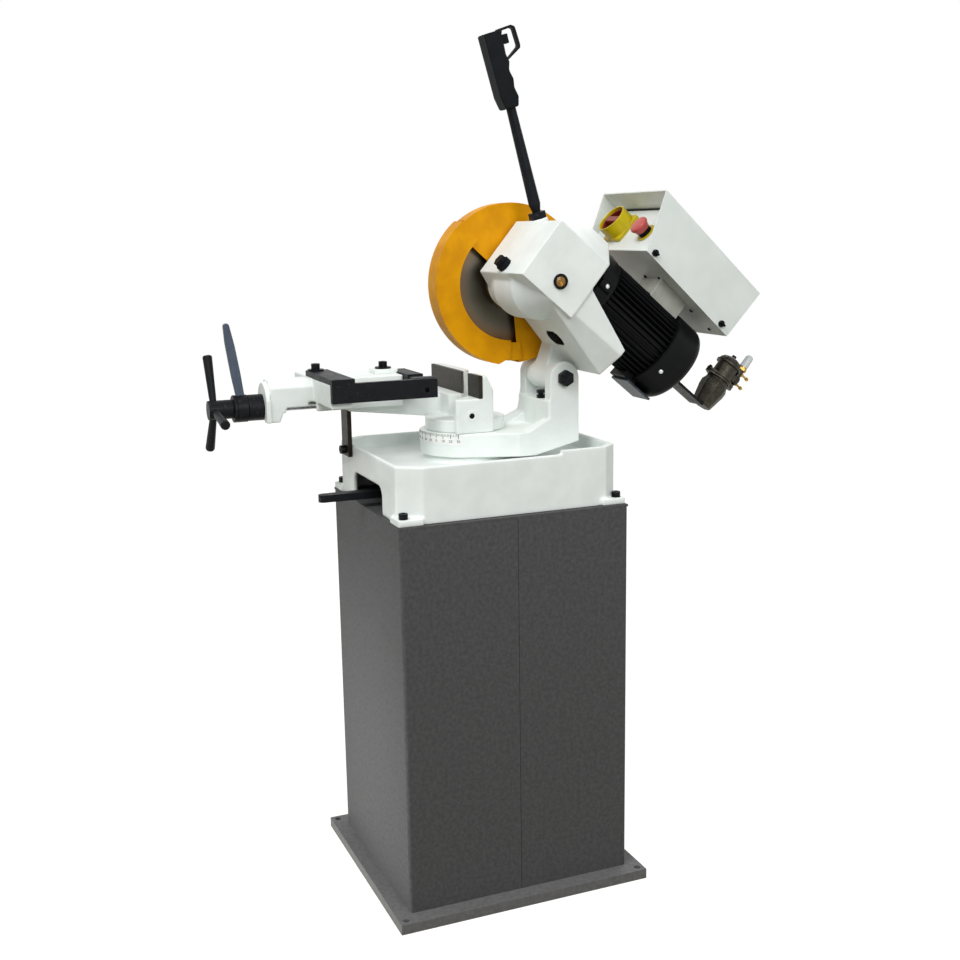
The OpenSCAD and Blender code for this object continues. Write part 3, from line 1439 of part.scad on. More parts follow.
module coolant_pump() color("#70757a") on_pump() {
    flange_z = pump_low_h + pump_flange_t;
    dome_z = flange_z + pump_mid_h;
    elbow_z = flange_z + pump_mid_h / 2;
    cylinder(r = pump_low_r, h = pump_low_h);
    translate([0, 0, pump_low_h]) cylinder(r = pump_flange_r, h = pump_flange_t);
    translate([0, 0, flange_z]) cylinder(r = pump_mid_r, h = pump_mid_h);
    translate([0, 0, dome_z]) cylinder(r1 = pump_dome_r, r2 = pump_dome_r / 2, h = pump_dome_h);
    translate([0, 0, dome_z + pump_dome_h - over]) cylinder(r = pump_bolt_r, h = pump_bolt_h + over, $fn = hex_sides);
    bar_y(elbow_r, 0, elbow_out, 0, elbow_z);
    translate([0, elbow_out, elbow_z - elbow_r]) cylinder(r = elbow_r, h = elbow_h);
    translate([0, elbow_out, elbow_z - elbow_r + elbow_h]) cylinder(r = pump_cap_r, h = pump_cap_h);
    bar_y(barb_r, elbow_out, elbow_out + barb_len, 0, elbow_z);
    bar_y(barb_r, elbow_out, elbow_out + barb_len, 0, elbow_z + elbow_h - 2 * elbow_r);
}

floor_plate();
stand_front_shell();
stand_rear_shell();
stand_top_sheet();
coolant_tank();
base_tray();
tray_bolts();
swivel_post();
swivel_lock_lever();
swivel_arm();
angle_scale();
pivot_bolt();
stop_screw();
vise_base();
fixed_jaw_plates();
jaw_plate_screws();
vise_strut();
strut_bolt();
vise_nut();
vise_slide();
near_jaw_arm();
far_jaw_block();
jaw_arm_bolts();
vise_screw();
clamp_housing();
clamp_lever();
handwheel_hub();
handwheel_spokes();
gearbox_casting();
spindle_cover();
spindle_bearings();
spindle();
worm_wheel();
blade();
blade_flange();
blade_bolt();
fixed_guard();
moving_guard();
filler_cap();
sight_glass_ring();
sight_glass();
handle_nut();
handle_rod();
grip_left();
grip_right();
trigger();
motor_housing();
motor_stator();
motor_rotor();
motor_fan();
fan_cover();
terminal_block();
electric_box();
switch_plate();
switch_knob();
estop_collar();
estop_button();
box_screws();
pump_bracket();
coolant_pump();
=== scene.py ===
"""Looks of the cold saw: painted castings, sheet-metal stand and guards, motor, pump, controls and hardware.

Lengths are in millimetres while a piece is drawn and become metres when it is placed.
"""
import math

import bmesh
import bpy
from mathutils import Matrix, Vector


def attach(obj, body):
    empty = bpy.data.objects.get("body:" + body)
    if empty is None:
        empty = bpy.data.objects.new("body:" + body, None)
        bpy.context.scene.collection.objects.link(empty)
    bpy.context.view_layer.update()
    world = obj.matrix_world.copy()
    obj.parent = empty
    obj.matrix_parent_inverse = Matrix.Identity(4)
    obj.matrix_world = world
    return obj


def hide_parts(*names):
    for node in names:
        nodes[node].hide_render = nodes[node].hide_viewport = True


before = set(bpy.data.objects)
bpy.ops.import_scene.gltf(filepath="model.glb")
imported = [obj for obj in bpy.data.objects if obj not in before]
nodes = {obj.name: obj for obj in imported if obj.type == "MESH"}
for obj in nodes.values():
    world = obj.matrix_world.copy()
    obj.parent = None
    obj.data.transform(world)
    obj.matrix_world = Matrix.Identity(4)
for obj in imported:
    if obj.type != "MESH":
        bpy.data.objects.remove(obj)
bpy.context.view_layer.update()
scene = bpy.context.scene

MM = 0.001


def shift(x, y, z):
    return Matrix.Translation((x, y, z))


def turn(axis, degrees):
    return Matrix.Rotation(math.radians(degrees), 4, axis)


# Places of the saw's groups, in millimetres from the middle of the floor bolts. The head is drawn lowered about its
# pivot and lifted to where it stands at rest.
HEAD_LIFT = 40
SPINDLE_Y, SPINDLE_Z = -153.7, 87.2
VISE_X, SCREW_Z = -92, 899.1
STAND = Matrix.Identity(4)
HEAD = shift(0, 132, 942) @ turn("X", -HEAD_LIFT)
MOTOR = HEAD @ shift(110, 0, 147.2) @ turn("X", -90)
PANEL = HEAD @ shift(0, -47, 250) @ turn("X", -3)
HANDLE = HEAD @ shift(70, -181, 178) @ turn("X", 55)
PUMP = HEAD @ shift(110, 262, 131)
SCREW = shift(VISE_X, 0, SCREW_Z) @ turn("X", -90)
# Turns an outline drawn in X-Y to stand in Y-Z, its thickness along X.
EDGEWAYS = Matrix(((0, 0, 1, 0), (1, 0, 0, 0), (0, 1, 0, 0), (0, 0, 0, 1)))


# Materials

def linear(hex_colour):
    """sRGB hex to the linear colour that shaders use."""
    values = [int(hex_colour[i:i + 2], 16) / 255 for i in (1, 3, 5)]
    return [v / 12.92 if v <= 0.04045 else ((v + 0.055) / 1.055) ** 2.4 for v in values] + [1.0]


def per_mm(size):
    """Texture scale for a pattern whose repeat is that many millimetres."""
    return 1.0 / (size * MM)


def add(tree, kind, links=None, inputs=None, **settings):
    """Adds one node with its settings, its input values and its links."""
    made = tree.nodes.new(kind)
    for name, value in settings.items():
        setattr(made, name, value)
    for socket, value in (inputs or {}).items():
        made.inputs[socket].default_value = value
    for socket, (source, output) in (links or {}).items():
        tree.links.new(source.outputs[output], made.inputs[socket])
    return made


def cleared(owner):
    """The emptied node tree of a material or of the world."""
    owner.use_nodes = True
    owner.node_tree.nodes.clear()
    return owner.node_tree


def new_material(name, **shader):
    """Material with a plain Principled shader, its constant sockets set."""
    made = bpy.data.materials.new(name)
    tree = cleared(made)
    surface = add(tree, "ShaderNodeBsdfPrincipled", inputs=shader)
    add(tree, "ShaderNodeOutputMaterial", links={"Surface": (surface, "BSDF")})
    place = add(tree, "ShaderNodeTexCoord")
    return made, tree, surface, place


def mottle(tree, place, light, dark, size, detail=4.0, low=0.35, high=0.65):
    """Two close shades of one colour in soft patches of that size."""
    patches = add(tree, "ShaderNodeTexNoise", links={"Vector": (place, "Object")},
                  inputs={"Scale": per_mm(size), "Detail": detail, "Roughness": 0.55})
    shades = add(tree, "ShaderNodeValToRGB", links={"Fac": (patches, "Fac")})
    shades.color_ramp.elements[0].position = low
    shades.color_ramp.elements[0].color = linear(dark)
    shades.color_ramp.elements[1].position = high
    shades.color_ramp.elements[1].color = linear(light)
    return shades


def grain(tree, place, surface, size, height, strength, detail=2.0):
    """Surface grain of that size and height as bump."""
    texture = add(tree, "ShaderNodeTexNoise", links={"Vector": (place, "Object")},
                  inputs={"Scale": per_mm(size), "Detail": detail, "Roughness": 0.5})
    bump = add(tree, "ShaderNodeBump", links={"Height": (texture, "Fac")},
               inputs={"Strength": strength, "Distance": height * MM})
    tree.links.new(bump.outputs["Normal"], surface.inputs["Normal"])


def varied_roughness(tree, place, surface, size, low, high):
    """Roughness that wanders between two values, as handling leaves it."""
    texture = add(tree, "ShaderNodeTexNoise", links={"Vector": (place, "Object")},
                  inputs={"Scale": per_mm(size), "Detail": 3.0})
    spread = add(tree, "ShaderNodeMapRange", links={"Value": (texture, "Fac")},
                 inputs={"From Min": 0.3, "From Max": 0.7, "To Min": low, "To Max": high})
    tree.links.new(spread.outputs["Result"], surface.inputs["Roughness"])


def painted(name, light, dark, patch, peel, height, rough, gloss=0.3, worn=None):
    """Sprayed paint: close shades in patches, orange peel as bump, and worn edges where a colour is given."""
    made, tree, surface, place = new_material(name, **{"IOR": 1.5, "Specular IOR Level": gloss})
    shades = mottle(tree, place, light, dark, patch)
    colour = (shades, "Color")
    if worn:
        edges = add(tree, "ShaderNodeNewGeometry")
        chips = add(tree, "ShaderNodeTexNoise", links={"Vector": (place, "Object")},
                    inputs={"Scale": per_mm(6.0), "Detail": 5.0})
        edge_and_chip = add(tree, "ShaderNodeMath", links={0: (edges, "Pointiness"), 1: (chips, "Fac")},
                            operation="MULTIPLY")
        mask = add(tree, "ShaderNodeMapRange", links={"Value": (edge_and_chip, "Value")},
                   inputs={"From Min": 0.33, "From Max": 0.42, "To Min": 0.0, "To Max": 0.4})
        mix = add(tree, "ShaderNodeMix", links={0: (mask, "Result"), 6: colour}, inputs={7: linear(worn)},
                  data_type="RGBA")
        colour = (mix, 2)
    tree.links.new(colour[0].outputs[colour[1]], surface.inputs["Base Color"])
    grain(tree, place, surface, peel, height, 0.35)
    varied_roughness(tree, place, surface, patch * 0.6, *rough)
    return made


# Two-pack enamel on filled iron castings: an even cool white with a faint orange peel about 2 mm across.
white_enamel = painted("white_enamel_on_casting", "#ebf1ee", "#e3e9e6",
                       patch=45, peel=2.2, height=0.06, rough=(0.38, 0.5), gloss=0.35)
# Enamel on folded sheet: greyer than the castings, flat, with a fine satin peel.
sheet_enamel = painted("white_enamel_on_sheet", "#e2e8e5", "#dae1dd",
                       patch=60, peel=1.6, height=0.03, rough=(0.42, 0.52), gloss=0.3)
# Powder coat on the stand: charcoal with a fine leather-like grain, drawn at 1.8 mm so that it shows.
stand_coat = painted("charcoal_powder_coat", "#545455", "#4a4a4b",
                     patch=7, peel=1.8, height=0.12, rough=(0.5, 0.62), gloss=0.08)
# Floor plate: the same powder coat in a lighter grey.
plate_coat = painted("grey_powder_coat", "#6e6e6e", "#626262",
                     patch=9, peel=1.8, height=0.1, rough=(0.5, 0.6), gloss=0.1)
# Gloss machine enamel on the guards' steel sheet: deep orange-yellow, a little smudged by hands and oil.
guard_enamel = painted("yellow_guard_enamel", "#de9a00", "#cc8a00",
                       patch=40, peel=2.5, height=0.05, rough=(0.4, 0.54), gloss=0.1)
# Black enamel on steel bars and the handle: satin, with lighter steel where edges are rubbed.
black_enamel = painted("black_enamel_on_steel", "#17191d", "#121316",
                       patch=18, peel=1.5, height=0.04, rough=(0.36, 0.5), gloss=0.1, worn="#4b4d50")
# Blue-grey enamel of the quick-clamp lever.
lever_enamel = painted("slate_enamel_on_steel", "#525c6b", "#485260",
                       patch=16, peel=1.5, height=0.04, rough=(0.36, 0.48), gloss=0.15, worn="#6e747b")
# Black enamel on the motor's die-cast body: slightly soft gloss.
motor_enamel = painted("black_enamel_on_aluminium", "#0e0f11", "#090a0b",
                       patch=14, peel=1.8, height=0.07, rough=(0.34, 0.48), gloss=0.1)


def moulded(name, light, dark, grain_size, rough, gloss=0.3):
    """Moulded plastic: even colour, fine spark-eroded grain."""
    made, tree, surface, place = new_material(name, **{"Roughness": rough, "IOR": 1.49, "Specular IOR Level": gloss})
    shades = mottle(tree, place, light, dark, 20)
    tree.links.new(shades.outputs["Color"], surface.inputs["Base Color"])
    grain(tree, place, surface, grain_size, 0.04, 0.3)
    return made


# Polyamide of the grips, caps and knobs: matt black with a fine mould grain.
black_plastic = moulded("black_polyamide", "#111418", "#0c0e11", grain_size=1.2, rough=0.5, gloss=0.08)
# ABS of the switch: clear glossy yellow.
yellow_plastic = moulded("yellow_abs", "#c6b20a", "#b8a406", grain_size=1.6, rough=0.3, gloss=0.35)
# ABS of the emergency stop: slightly faded red.
red_plastic = moulded("red_abs", "#bd524d", "#ae4742", grain_size=1.6, rough=0.34, gloss=0.35)
# ABS of the switch handle: brownish red in the ring's shade.
dark_red_plastic = moulded("dark_red_abs", "#8a2f25", "#77261d", grain_size=1.6, rough=0.36)
# Phenolic of the terminal block: dull warm grey.
terminal_plastic = moulded("grey_phenolic", "#a9aba3", "#9b9d95", grain_size=1.4, rough=0.5)


# How far a metal's surface marks are squeezed along each axis: drawn out along X by machining, or alike all round.
STRETCH = 14.0
DRAWN_OUT, SANDY = (1.0, STRETCH, STRETCH), (6.0, 6.0, 6.0)


def bare_metal(name, light, dark, patch, scratch, rough, skin=DRAWN_OUT):
    """Bare or blackened metal with fine machining marks or a sandy cast skin."""
    made, tree, surface, place = new_material(name, **{"Metallic": 1.0})
    shades = mottle(tree, place, light, dark, patch)
    tree.links.new(shades.outputs["Color"], surface.inputs["Base Color"])
    stretch = add(tree, "ShaderNodeMapping", links={"Vector": (place, "Object")}, inputs={"Scale": skin})
    marks = add(tree, "ShaderNodeTexNoise", links={"Vector": (stretch, "Vector")},
                inputs={"Scale": per_mm(scratch * STRETCH), "Detail": 3.0})
    bump = add(tree, "ShaderNodeBump", links={"Height": (marks, "Fac")},
               inputs={"Strength": 0.25, "Distance": 0.03 * MM})
    tree.links.new(bump.outputs["Normal"], surface.inputs["Normal"])
    spread = add(tree, "ShaderNodeMapRange", links={"Value": (marks, "Fac")},
                 inputs={"From Min": 0.3, "From Max": 0.7, "To Min": rough[0], "To Max": rough[1]})
    tree.links.new(spread.outputs["Result"], surface.inputs["Roughness"])
    return made


# Black oxide on cap screws and hexagon bolts: dark, slightly oily.
black_oxide = bare_metal("black_oxide_steel", "#242527", "#18191b", patch=6, scratch=0.6, rough=(0.34, 0.5))
# Turned steel of shafts, screw and post.
turned_steel = bare_metal("turned_steel", "#b6b8ba", "#a2a4a6", patch=12, scratch=0.5, rough=(0.22, 0.36))
# Zinc-plated small screws.
zinc_plate = bare_metal("zinc_plated_steel", "#d4d6d8", "#c2c5c8", patch=4, scratch=0.4, rough=(0.18, 0.3))
# Hardened jaw steel: ground, browned by oil.
jaw_steel = bare_metal("oiled_jaw_steel", "#353229", "#2b2822", patch=14, scratch=0.7, rough=(0.36, 0.52))
# Hot-rolled strip of the strut: nearly black mill scale with a brown cast.
mill_scale = bare_metal("hot_rolled_strip", "#2e2a25", "#211e1b", patch=10, scratch=0.8, rough=(0.42, 0.56))
# Worm-wheel bronze and brass barbs.
bronze = bare_metal("bronze", "#b08d4a", "#97773a", patch=10, scratch=0.6, rough=(0.28, 0.4))
# Die-cast zinc of the pump body: dull grey with a sandy cast skin.
pump_casting = bare_metal("zinc_die_casting", "#45423a", "#35332d",
                          patch=8, scratch=0.9, rough=(0.4, 0.56), skin=SANDY)
# Dark sandy iron in the opening under the gearbox tail: painted shade for the hollow inside.
painted_shade_iron = bare_metal("dark_iron_painted_shade", "#3c3932", "#2a2824", patch=7, scratch=0.9, rough=(0.55, 0.7), skin=SANDY)
# Galvanised tank sheet.
tank_sheet = bare_metal("galvanised_sheet", "#8d9194", "#767a7d",
                        patch=18, scratch=1.0, rough=(0.35, 0.5), skin=SANDY)
# Zinc-chromated foot plate of the motor: dull blue-grey.
foot_zinc = bare_metal("chromated_foot_plate", "#3c434a", "#30363c", patch=12, scratch=0.8, rough=(0.38, 0.5))
# Enamelled copper of the stator.
winding_copper = bare_metal("enamelled_copper", "#9a5a2b", "#834a22", patch=6, scratch=0.8, rough=(0.3, 0.45))


# Grinding marks on the blade are too fine to show, so they are drawn in broad rings about 62 mm apart: rings in
# roughness and bump, and lighter and darker rings in the colour as painted sheen. The wave texture repeats at 0.314 of
# its scale, which gives this size in millimetres.
SHEEN_RING_SCALE = 196.25
BLADE_CENTRE = (0.0, 0.07031, 1.107596)


def blade_metal():
    """High-speed steel: dark, with a painted reflection of the yellow guard as brown towards the rim, and ring-shaped
    grinding marks round the blade's axis, their sheen painted as lighter and darker rings.
    """
    made, tree, surface, place = new_material("ground_high_speed_steel", **{"Metallic": 1.0})
    to_axis = add(tree, "ShaderNodeMapping", links={"Vector": (place, "Object")},
                  inputs={"Location": [-c for c in BLADE_CENTRE]})
    rings = add(tree, "ShaderNodeTexWave", links={"Vector": (to_axis, "Vector")},
                inputs={"Scale": per_mm(SHEEN_RING_SCALE), "Distortion": 3.0, "Detail": 4.0, "Detail Scale": 1.5},
                wave_type="RINGS", rings_direction="X")
    # Lighter and darker rings in the colour: painted sheen of the grinding marks.
    shades = add(tree, "ShaderNodeValToRGB", links={"Fac": (rings, "Fac")})
    shades.color_ramp.elements[0].color = linear("#565248")
    shades.color_ramp.elements[1].color = linear("#686359")
    flat = add(tree, "ShaderNodeMapping", links={"Vector": (to_axis, "Vector")}, inputs={"Scale": (0.0, 1.0, 1.0)})
    out_from_axis = add(tree, "ShaderNodeVectorMath", links={0: (flat, "Vector")}, operation="LENGTH")
    # Brown towards the rim: painted reflection of the yellow guard.
    rim = add(tree, "ShaderNodeMapRange", links={"Value": (out_from_axis, "Value")},
              inputs={"From Min": 78 * MM, "From Max": 106 * MM, "To Min": 0.0, "To Max": 0.75})
    guard_reflection_tint = add(tree, "ShaderNodeMix", links={0: (rim, "Result"), 6: (shades, "Color")},
                  inputs={7: linear("#7c5220")}, data_type="RGBA")
    tree.links.new(guard_reflection_tint.outputs[2], surface.inputs["Base Color"])
    spread = add(tree, "ShaderNodeMapRange", links={"Value": (rings, "Fac")},
                 inputs={"To Min": 0.30, "To Max": 0.44})
    tree.links.new(spread.outputs["Result"], surface.inputs["Roughness"])
    bump = add(tree, "ShaderNodeBump", links={"Height": (rings, "Fac")},
               inputs={"Strength": 0.15, "Distance": 0.03 * MM})
    tree.links.new(bump.outputs["Normal"], surface.inputs["Normal"])
    return made


blade_steel = blade_metal()


def clear(name, colour, rough, ior):
    """Clear moulded cap or glass, slightly uneven."""
    made, tree, surface, place = new_material(name, **{"Roughness": rough, "IOR": ior, "Transmission Weight": 0.85})
    shades = mottle(tree, place, colour[0], colour[1], 12)
    tree.links.new(shades.outputs["Color"], surface.inputs["Base Color"])
    grain(tree, place, surface, 3.0, 0.03, 0.1)
    return made


# Oil behind the sight glass, seen as amber.
amber_glass = clear("oil_sight_glass", ("#d9b24a", "#b88a2a"), 0.08, 1.47)
# Milky polyethylene cap on the pump's outlet.
clear_cap = moulded("milky_polyethylene", "#e4e8ea", "#d6dbdf", grain_size=1.6, rough=0.3, gloss=0.4)
# Printed scale: white anodised band.
scale_band = painted("white_anodised_scale", "#f1f2ef", "#e6e8e4",
                     patch=12, peel=1.2, height=0.02, rough=(0.35, 0.45))
# Scale ink.
scale_ink = moulded("black_scale_ink", "#26282a", "#1d1f21", grain_size=1.0, rough=0.6)


# Mesh making

def moved(bm, matrix):
    """The shape, moved within the frame that it is drawn in."""
    bmesh.ops.transform(bm, matrix=matrix, verts=bm.verts)
    return bm


def place_mesh(bm, place):
    """Moves a drawn shape to its place on the saw, in metres."""
    return moved(bm, Matrix.Scale(MM, 4) @ place)


def plain_mesh(name, bm):
    """Mesh of a drawn shape; the drawing goes."""
    mesh = bpy.data.meshes.new(name)
    bm.to_mesh(mesh)
    bm.free()
    return mesh


def stock(name, bm):
    """Object that modifiers and trees work from; it isn't shown itself."""
    return bpy.data.objects.new(name, plain_mesh(name, bm))


def plain_result(obj):
    """Plain mesh of an object as its modifiers leave it; the object goes."""
    scene.collection.objects.link(obj)
    mesh = bpy.data.meshes.new_from_object(obj.evaluated_get(bpy.context.evaluated_depsgraph_get()))
    obj.modifiers.clear()
    bpy.data.objects.remove(obj)
    return mesh


def soften(bm, width, segments=3, angle=30.0, keep=None):
    """Rounds the edges that are sharper than the angle, or of these the ones that keep picks out."""
    edges = [e for e in bm.edges if len(e.link_faces) == 2 and e.calc_face_angle(0.0) > math.radians(angle)
             and (keep is None or keep(e))]
    bmesh.ops.bevel(bm, geom=edges, offset=width, segments=segments, profile=0.5, affect="EDGES", clamp_overlap=True)
    return bm


def lathe(profile, steps=48, ring=False):
    """Turns (radius, height) points about local Z into a closed shape; a ring joins its last point to its first."""
    bm = bmesh.new()
    rings = []
    for r, z in profile:
        if r < 1e-6:
            rings.append([bm.verts.new((0, 0, z))])
        else:
            angles = [2 * math.pi * i / steps for i in range(steps)]
            rings.append([bm.verts.new((r * math.cos(a), r * math.sin(a), z)) for a in angles])
    for a, b in zip(rings, rings[1:] + rings[:1] if ring else rings[1:]):
        for i in range(steps):
            j = (i + 1) % steps
            corners = [a[i % len(a)], a[j % len(a)], b[j % len(b)], b[i % len(b)]]
            face = [v for k, v in enumerate(corners) if v not in corners[:k]]
            if len(face) > 2:
                bm.faces.new(face)
    for end in () if ring else (rings[0], rings[-1]):
        if len(end) > 1:
            bm.faces.new(end)
    bmesh.ops.recalc_face_normals(bm, faces=bm.faces)
    return bm


def prism(outline, low, high):
    """Extrudes a closed X-Y outline along local Z."""
    bm = bmesh.new()
    bottom = [bm.verts.new((x, y, low)) for x, y in outline]
    face = bm.faces.new(bottom)
    raised = bmesh.ops.extrude_face_region(bm, geom=[face])["geom"]
    bmesh.ops.translate(bm, vec=(0, 0, high - low), verts=[v for v in raised if isinstance(v, bmesh.types.BMVert)])
    bmesh.ops.recalc_face_normals(bm, faces=bm.faces)
    return bm


def box(low, high):
    """Block between two corners."""
    return prism([(low[0], low[1]), (high[0], low[1]), (high[0], high[1]), (low[0], high[1])], low[2], high[2])


def on_circle(radius, degrees):
    """Point of a circle about the origin."""
    return radius * math.cos(math.radians(degrees)), radius * math.sin(math.radians(degrees))


def hexagon(across):
    """Corners of a hexagon of that size across the corners."""
    return [on_circle(across / 2, 60 * i) for i in range(6)]


def rounded(points, radius, steps=6):
    """Outline with its corners rounded to that radius, or each to its own; 0 keeps a corner."""
    out = []
    n = len(points)
    radii = radius if isinstance(radius, tuple) else (radius,) * n
    for i in range(n):
        if not radii[i]:
            out.append(tuple(points[i]))
            continue
        before, here, after = (Vector(points[(i + k) % n]) for k in (-1, 0, 1))
        a, b = (before - here).normalized(), (after - here).normalized()
        half = a.angle(b) / 2
        cut = min(radii[i] / math.tan(half), (before - here).length / 2.01, (after - here).length / 2.01)
        middle = here + (a + b).normalized() * (cut / math.cos(half))
        start, end = here + a * cut - middle, here + b * cut - middle
        sweep = start.angle_signed(end)
        for k in range(steps + 1):
            angle = -sweep * k / steps
            c, s = math.cos(angle), math.sin(angle)
            out.append((middle.x + c * start.x - s * start.y, middle.y + s * start.x + c * start.y))
    return out


def joined(*parts):
    """One shape of several."""
    bm = bmesh.new()
    for part in parts:
        mesh = plain_mesh("part", part)
        bm.from_mesh(mesh)
        bpy.data.meshes.remove(mesh)
    return bm


# Edges sharper than this many degrees stay crisp; a casting's are softer.
CRISP, CASTING_CRISP = 35.0, 50.0


def dressed(name, mesh, body, material, replaced=(), crisp=CRISP):
    """Finished piece at the origin that rides on a body, in the place of the CAD nodes it stands for."""
    mesh.materials.clear()
    mesh.materials.append(material)
    mesh.polygons.foreach_set("use_smooth", [True] * len(mesh.polygons))
    mesh.polygons.foreach_set("material_index", [0] * len(mesh.polygons))
    mesh.set_sharp_from_angle(angle=math.radians(crisp))
    obj = bpy.data.objects.new(name, mesh)
    scene.collection.objects.link(obj)
    # Flat faces keep their own shading beside rounded edges.
    obj.modifiers.new("even_shading", "WEIGHTED_NORMAL").keep_sharp = True
    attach(obj, body)
    if replaced:
        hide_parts(*replaced)


def piece(name, shape, place, body, material, replaced=()):
    """Piece of a shape that is drawn in a place's own frame."""
    dressed(name, plain_mesh(name, place_mesh(shape, place)), body, material, replaced)


def node_copy(node):
    """Copy of a CAD node's mesh, merged and with its flat faces whole, in metres."""
    bm = bmesh.new()
    bm.from_mesh(nodes[node].data)
    bmesh.ops.remove_doubles(bm, verts=bm.verts, dist=2e-6)
    bmesh.ops.dissolve_limit(bm, angle_limit=math.radians(0.4), verts=bm.verts, edges=bm.edges)
    return bm


def eased(node, body, material, width, segments=2):
    """The CAD node with its edges eased by that many millimetres."""
    mesh = plain_mesh(node + "_eased", soften(node_copy(node), width * MM, segments))
    dressed(node + "_eased", mesh, body, material, (node,))


def cast(node, body, material, voxel, rounds, place=STAND, shape=None):
    """The CAD node, or a shape drawn for it, as a casting: skin square to its own frame, every edge rounded over."""
    own = Matrix.Scale(MM, 4) @ place @ Matrix.Scale(1 / MM, 4)
    bm = shape or node_copy(node)
    bmesh.ops.triangulate(bm, faces=bm.faces)
    source = stock("cast_source", moved(bm, own.inverted()))
    remesh = source.modifiers.new("skin", "REMESH")
    remesh.mode = "VOXEL"
    remesh.voxel_size = voxel * MM
    smooth = source.modifiers.new("round", "SMOOTH")
    smooth.factor = 0.5
    smooth.iterations = rounds
    mesh = plain_result(source)
    mesh.transform(own)
    mesh.name = node + "_casting"
    dressed(node + "_casting", mesh, body, material, (node,), CASTING_CRISP)


# Geometry Nodes: what repeats

def new_tree(name, inputs):
    """Empty tree with those inputs and a geometry output."""
    tree = bpy.data.node_groups.new(name, "GeometryNodeTree")
    for socket, kind in inputs.items():
        tree.interface.new_socket(socket, in_out="INPUT", socket_type="NodeSocket" + kind)
    tree.interface.new_socket("Geometry", in_out="OUTPUT", socket_type="NodeSocketGeometry")
    return tree, add(tree, "NodeGroupInput")


def hand_out(tree, given, copies):
    """Ends a tree: the copies become real and get their finish."""
    real = add(tree, "GeometryNodeRealizeInstances", links={"Geometry": (copies, "Instances")})
    finish = add(tree, "GeometryNodeSetMaterial", links={"Geometry": (real, "Geometry"), "Material": (given, "Finish")})
    add(tree, "NodeGroupOutput", links={"Geometry": (finish, "Geometry")})
    return tree


def ring_tree(name):
    """Tree that sets copies of a shape in a ring or part of one."""
    tree, given = new_tree(name, {"Shape": "Object", "Count": "Int", "Radius": "Float", "First angle": "Float",
                                  "Sweep": "Float", "Finish": "Material"})
    points = add(tree, "GeometryNodePoints", links={"Count": (given, "Count")})
    index = add(tree, "GeometryNodeInputIndex")
    step = add(tree, "ShaderNodeMath", links={0: (given, "Sweep"), 1: (given, "Count")}, operation="DIVIDE")
    angle = add(tree, "ShaderNodeMath", links={0: (index, "Index"), 1: (step, "Value"), 2: (given, "First angle")},
                operation="MULTIPLY_ADD")
    spin = add(tree, "ShaderNodeCombineXYZ", links={"Z": (angle, "Value")})
    reach = add(tree, "ShaderNodeCombineXYZ", links={"X": (given, "Radius")})
    spot = add(tree, "ShaderNodeVectorRotate", links={"Vector": (reach, "Vector"), "Rotation": (spin, "Vector")},
               rotation_type="EULER_XYZ")
    placed = add(tree, "GeometryNodeSetPosition", links={"Geometry": (points, 0), "Position": (spot, "Vector")})
    shape = add(tree, "GeometryNodeObjectInfo", links={"Object": (given, "Shape")}, transform_space="ORIGINAL")
    copies = add(tree, "GeometryNodeInstanceOnPoints", links={"Points": (placed, "Geometry"),
                 "Instance": (shape, "Geometry"), "Rotation": (spin, "Vector")})
    return hand_out(tree, given, copies)


def scatter_tree(name):
    """Tree that stands a copy of a shape on every point of a mesh, turned to the point's own axis."""
    tree, given = new_tree(name, {"Points": "Geometry", "Shape": "Object", "Size": "Float", "Finish": "Material"})
    axis = add(tree, "GeometryNodeInputNamedAttribute", inputs={"Name": "axis"}, data_type="FLOAT_VECTOR")
    lean = add(tree, "FunctionNodeAlignRotationToVector", links={"Vector": (axis, "Attribute")}, axis="Z")
    shape = add(tree, "GeometryNodeObjectInfo", links={"Object": (given, "Shape")}, transform_space="ORIGINAL")
    scale = add(tree, "ShaderNodeCombineXYZ", links={way: (given, "Size") for way in "XYZ"})
    copies = add(tree, "GeometryNodeInstanceOnPoints", links={"Points": (given, "Points"),
                                                              "Instance": (shape, "Geometry"),
                 "Rotation": (lean, "Rotation"), "Scale": (scale, "Vector")})
    return hand_out(tree, given, copies)


ring_copies = ring_tree("ring_of_copies")
screw_places = scatter_tree("screws_on_points")


def baked(name, tree, values, points=None):
    """Runs a tree and returns its result as a plain mesh."""
    obj = bpy.data.objects.new(name, points or bpy.data.meshes.new(name))
    modifier = obj.modifiers.new("nodes", "NODES")
    modifier.node_group = tree
    for item in tree.interface.items_tree:
        if item.in_out == "INPUT" and item.name in values:
            modifier[item.identifier] = values[item.name]
    return plain_result(obj)


def in_ring(name, shape, count, place, body, material, radius=0.0, first=0.0, sweep=360.0, replaced=()):
    """Copies of a shape in a ring, or part of one, about local Z of a place."""
    mesh = baked(name, ring_copies, {"Shape": shape, "Count": count, "Radius": radius,
                                     "First angle": math.radians(first),
                                     "Sweep": math.radians(sweep), "Finish": material})
    mesh.transform(Matrix.Scale(MM, 4) @ place)
    dressed(name, mesh, body, material, replaced)


def at_points(name, shape, spots, place, body, material, size):
    """Copies of a shape at (position, axis) pairs given in a place's own frame."""
    points = bpy.data.meshes.new(name + "_points")
    points.from_pydata([p for p, a in spots], [], [])
    axis = points.attributes.new("axis", "FLOAT_VECTOR", "POINT")
    axis.data.foreach_set("vector", [c for p, a in spots for c in a])
    mesh = baked(name, screw_places, {"Shape": shape, "Size": size, "Finish": material}, points)
    mesh.transform(Matrix.Scale(MM, 4) @ place)
    dressed(name, mesh, body, material)


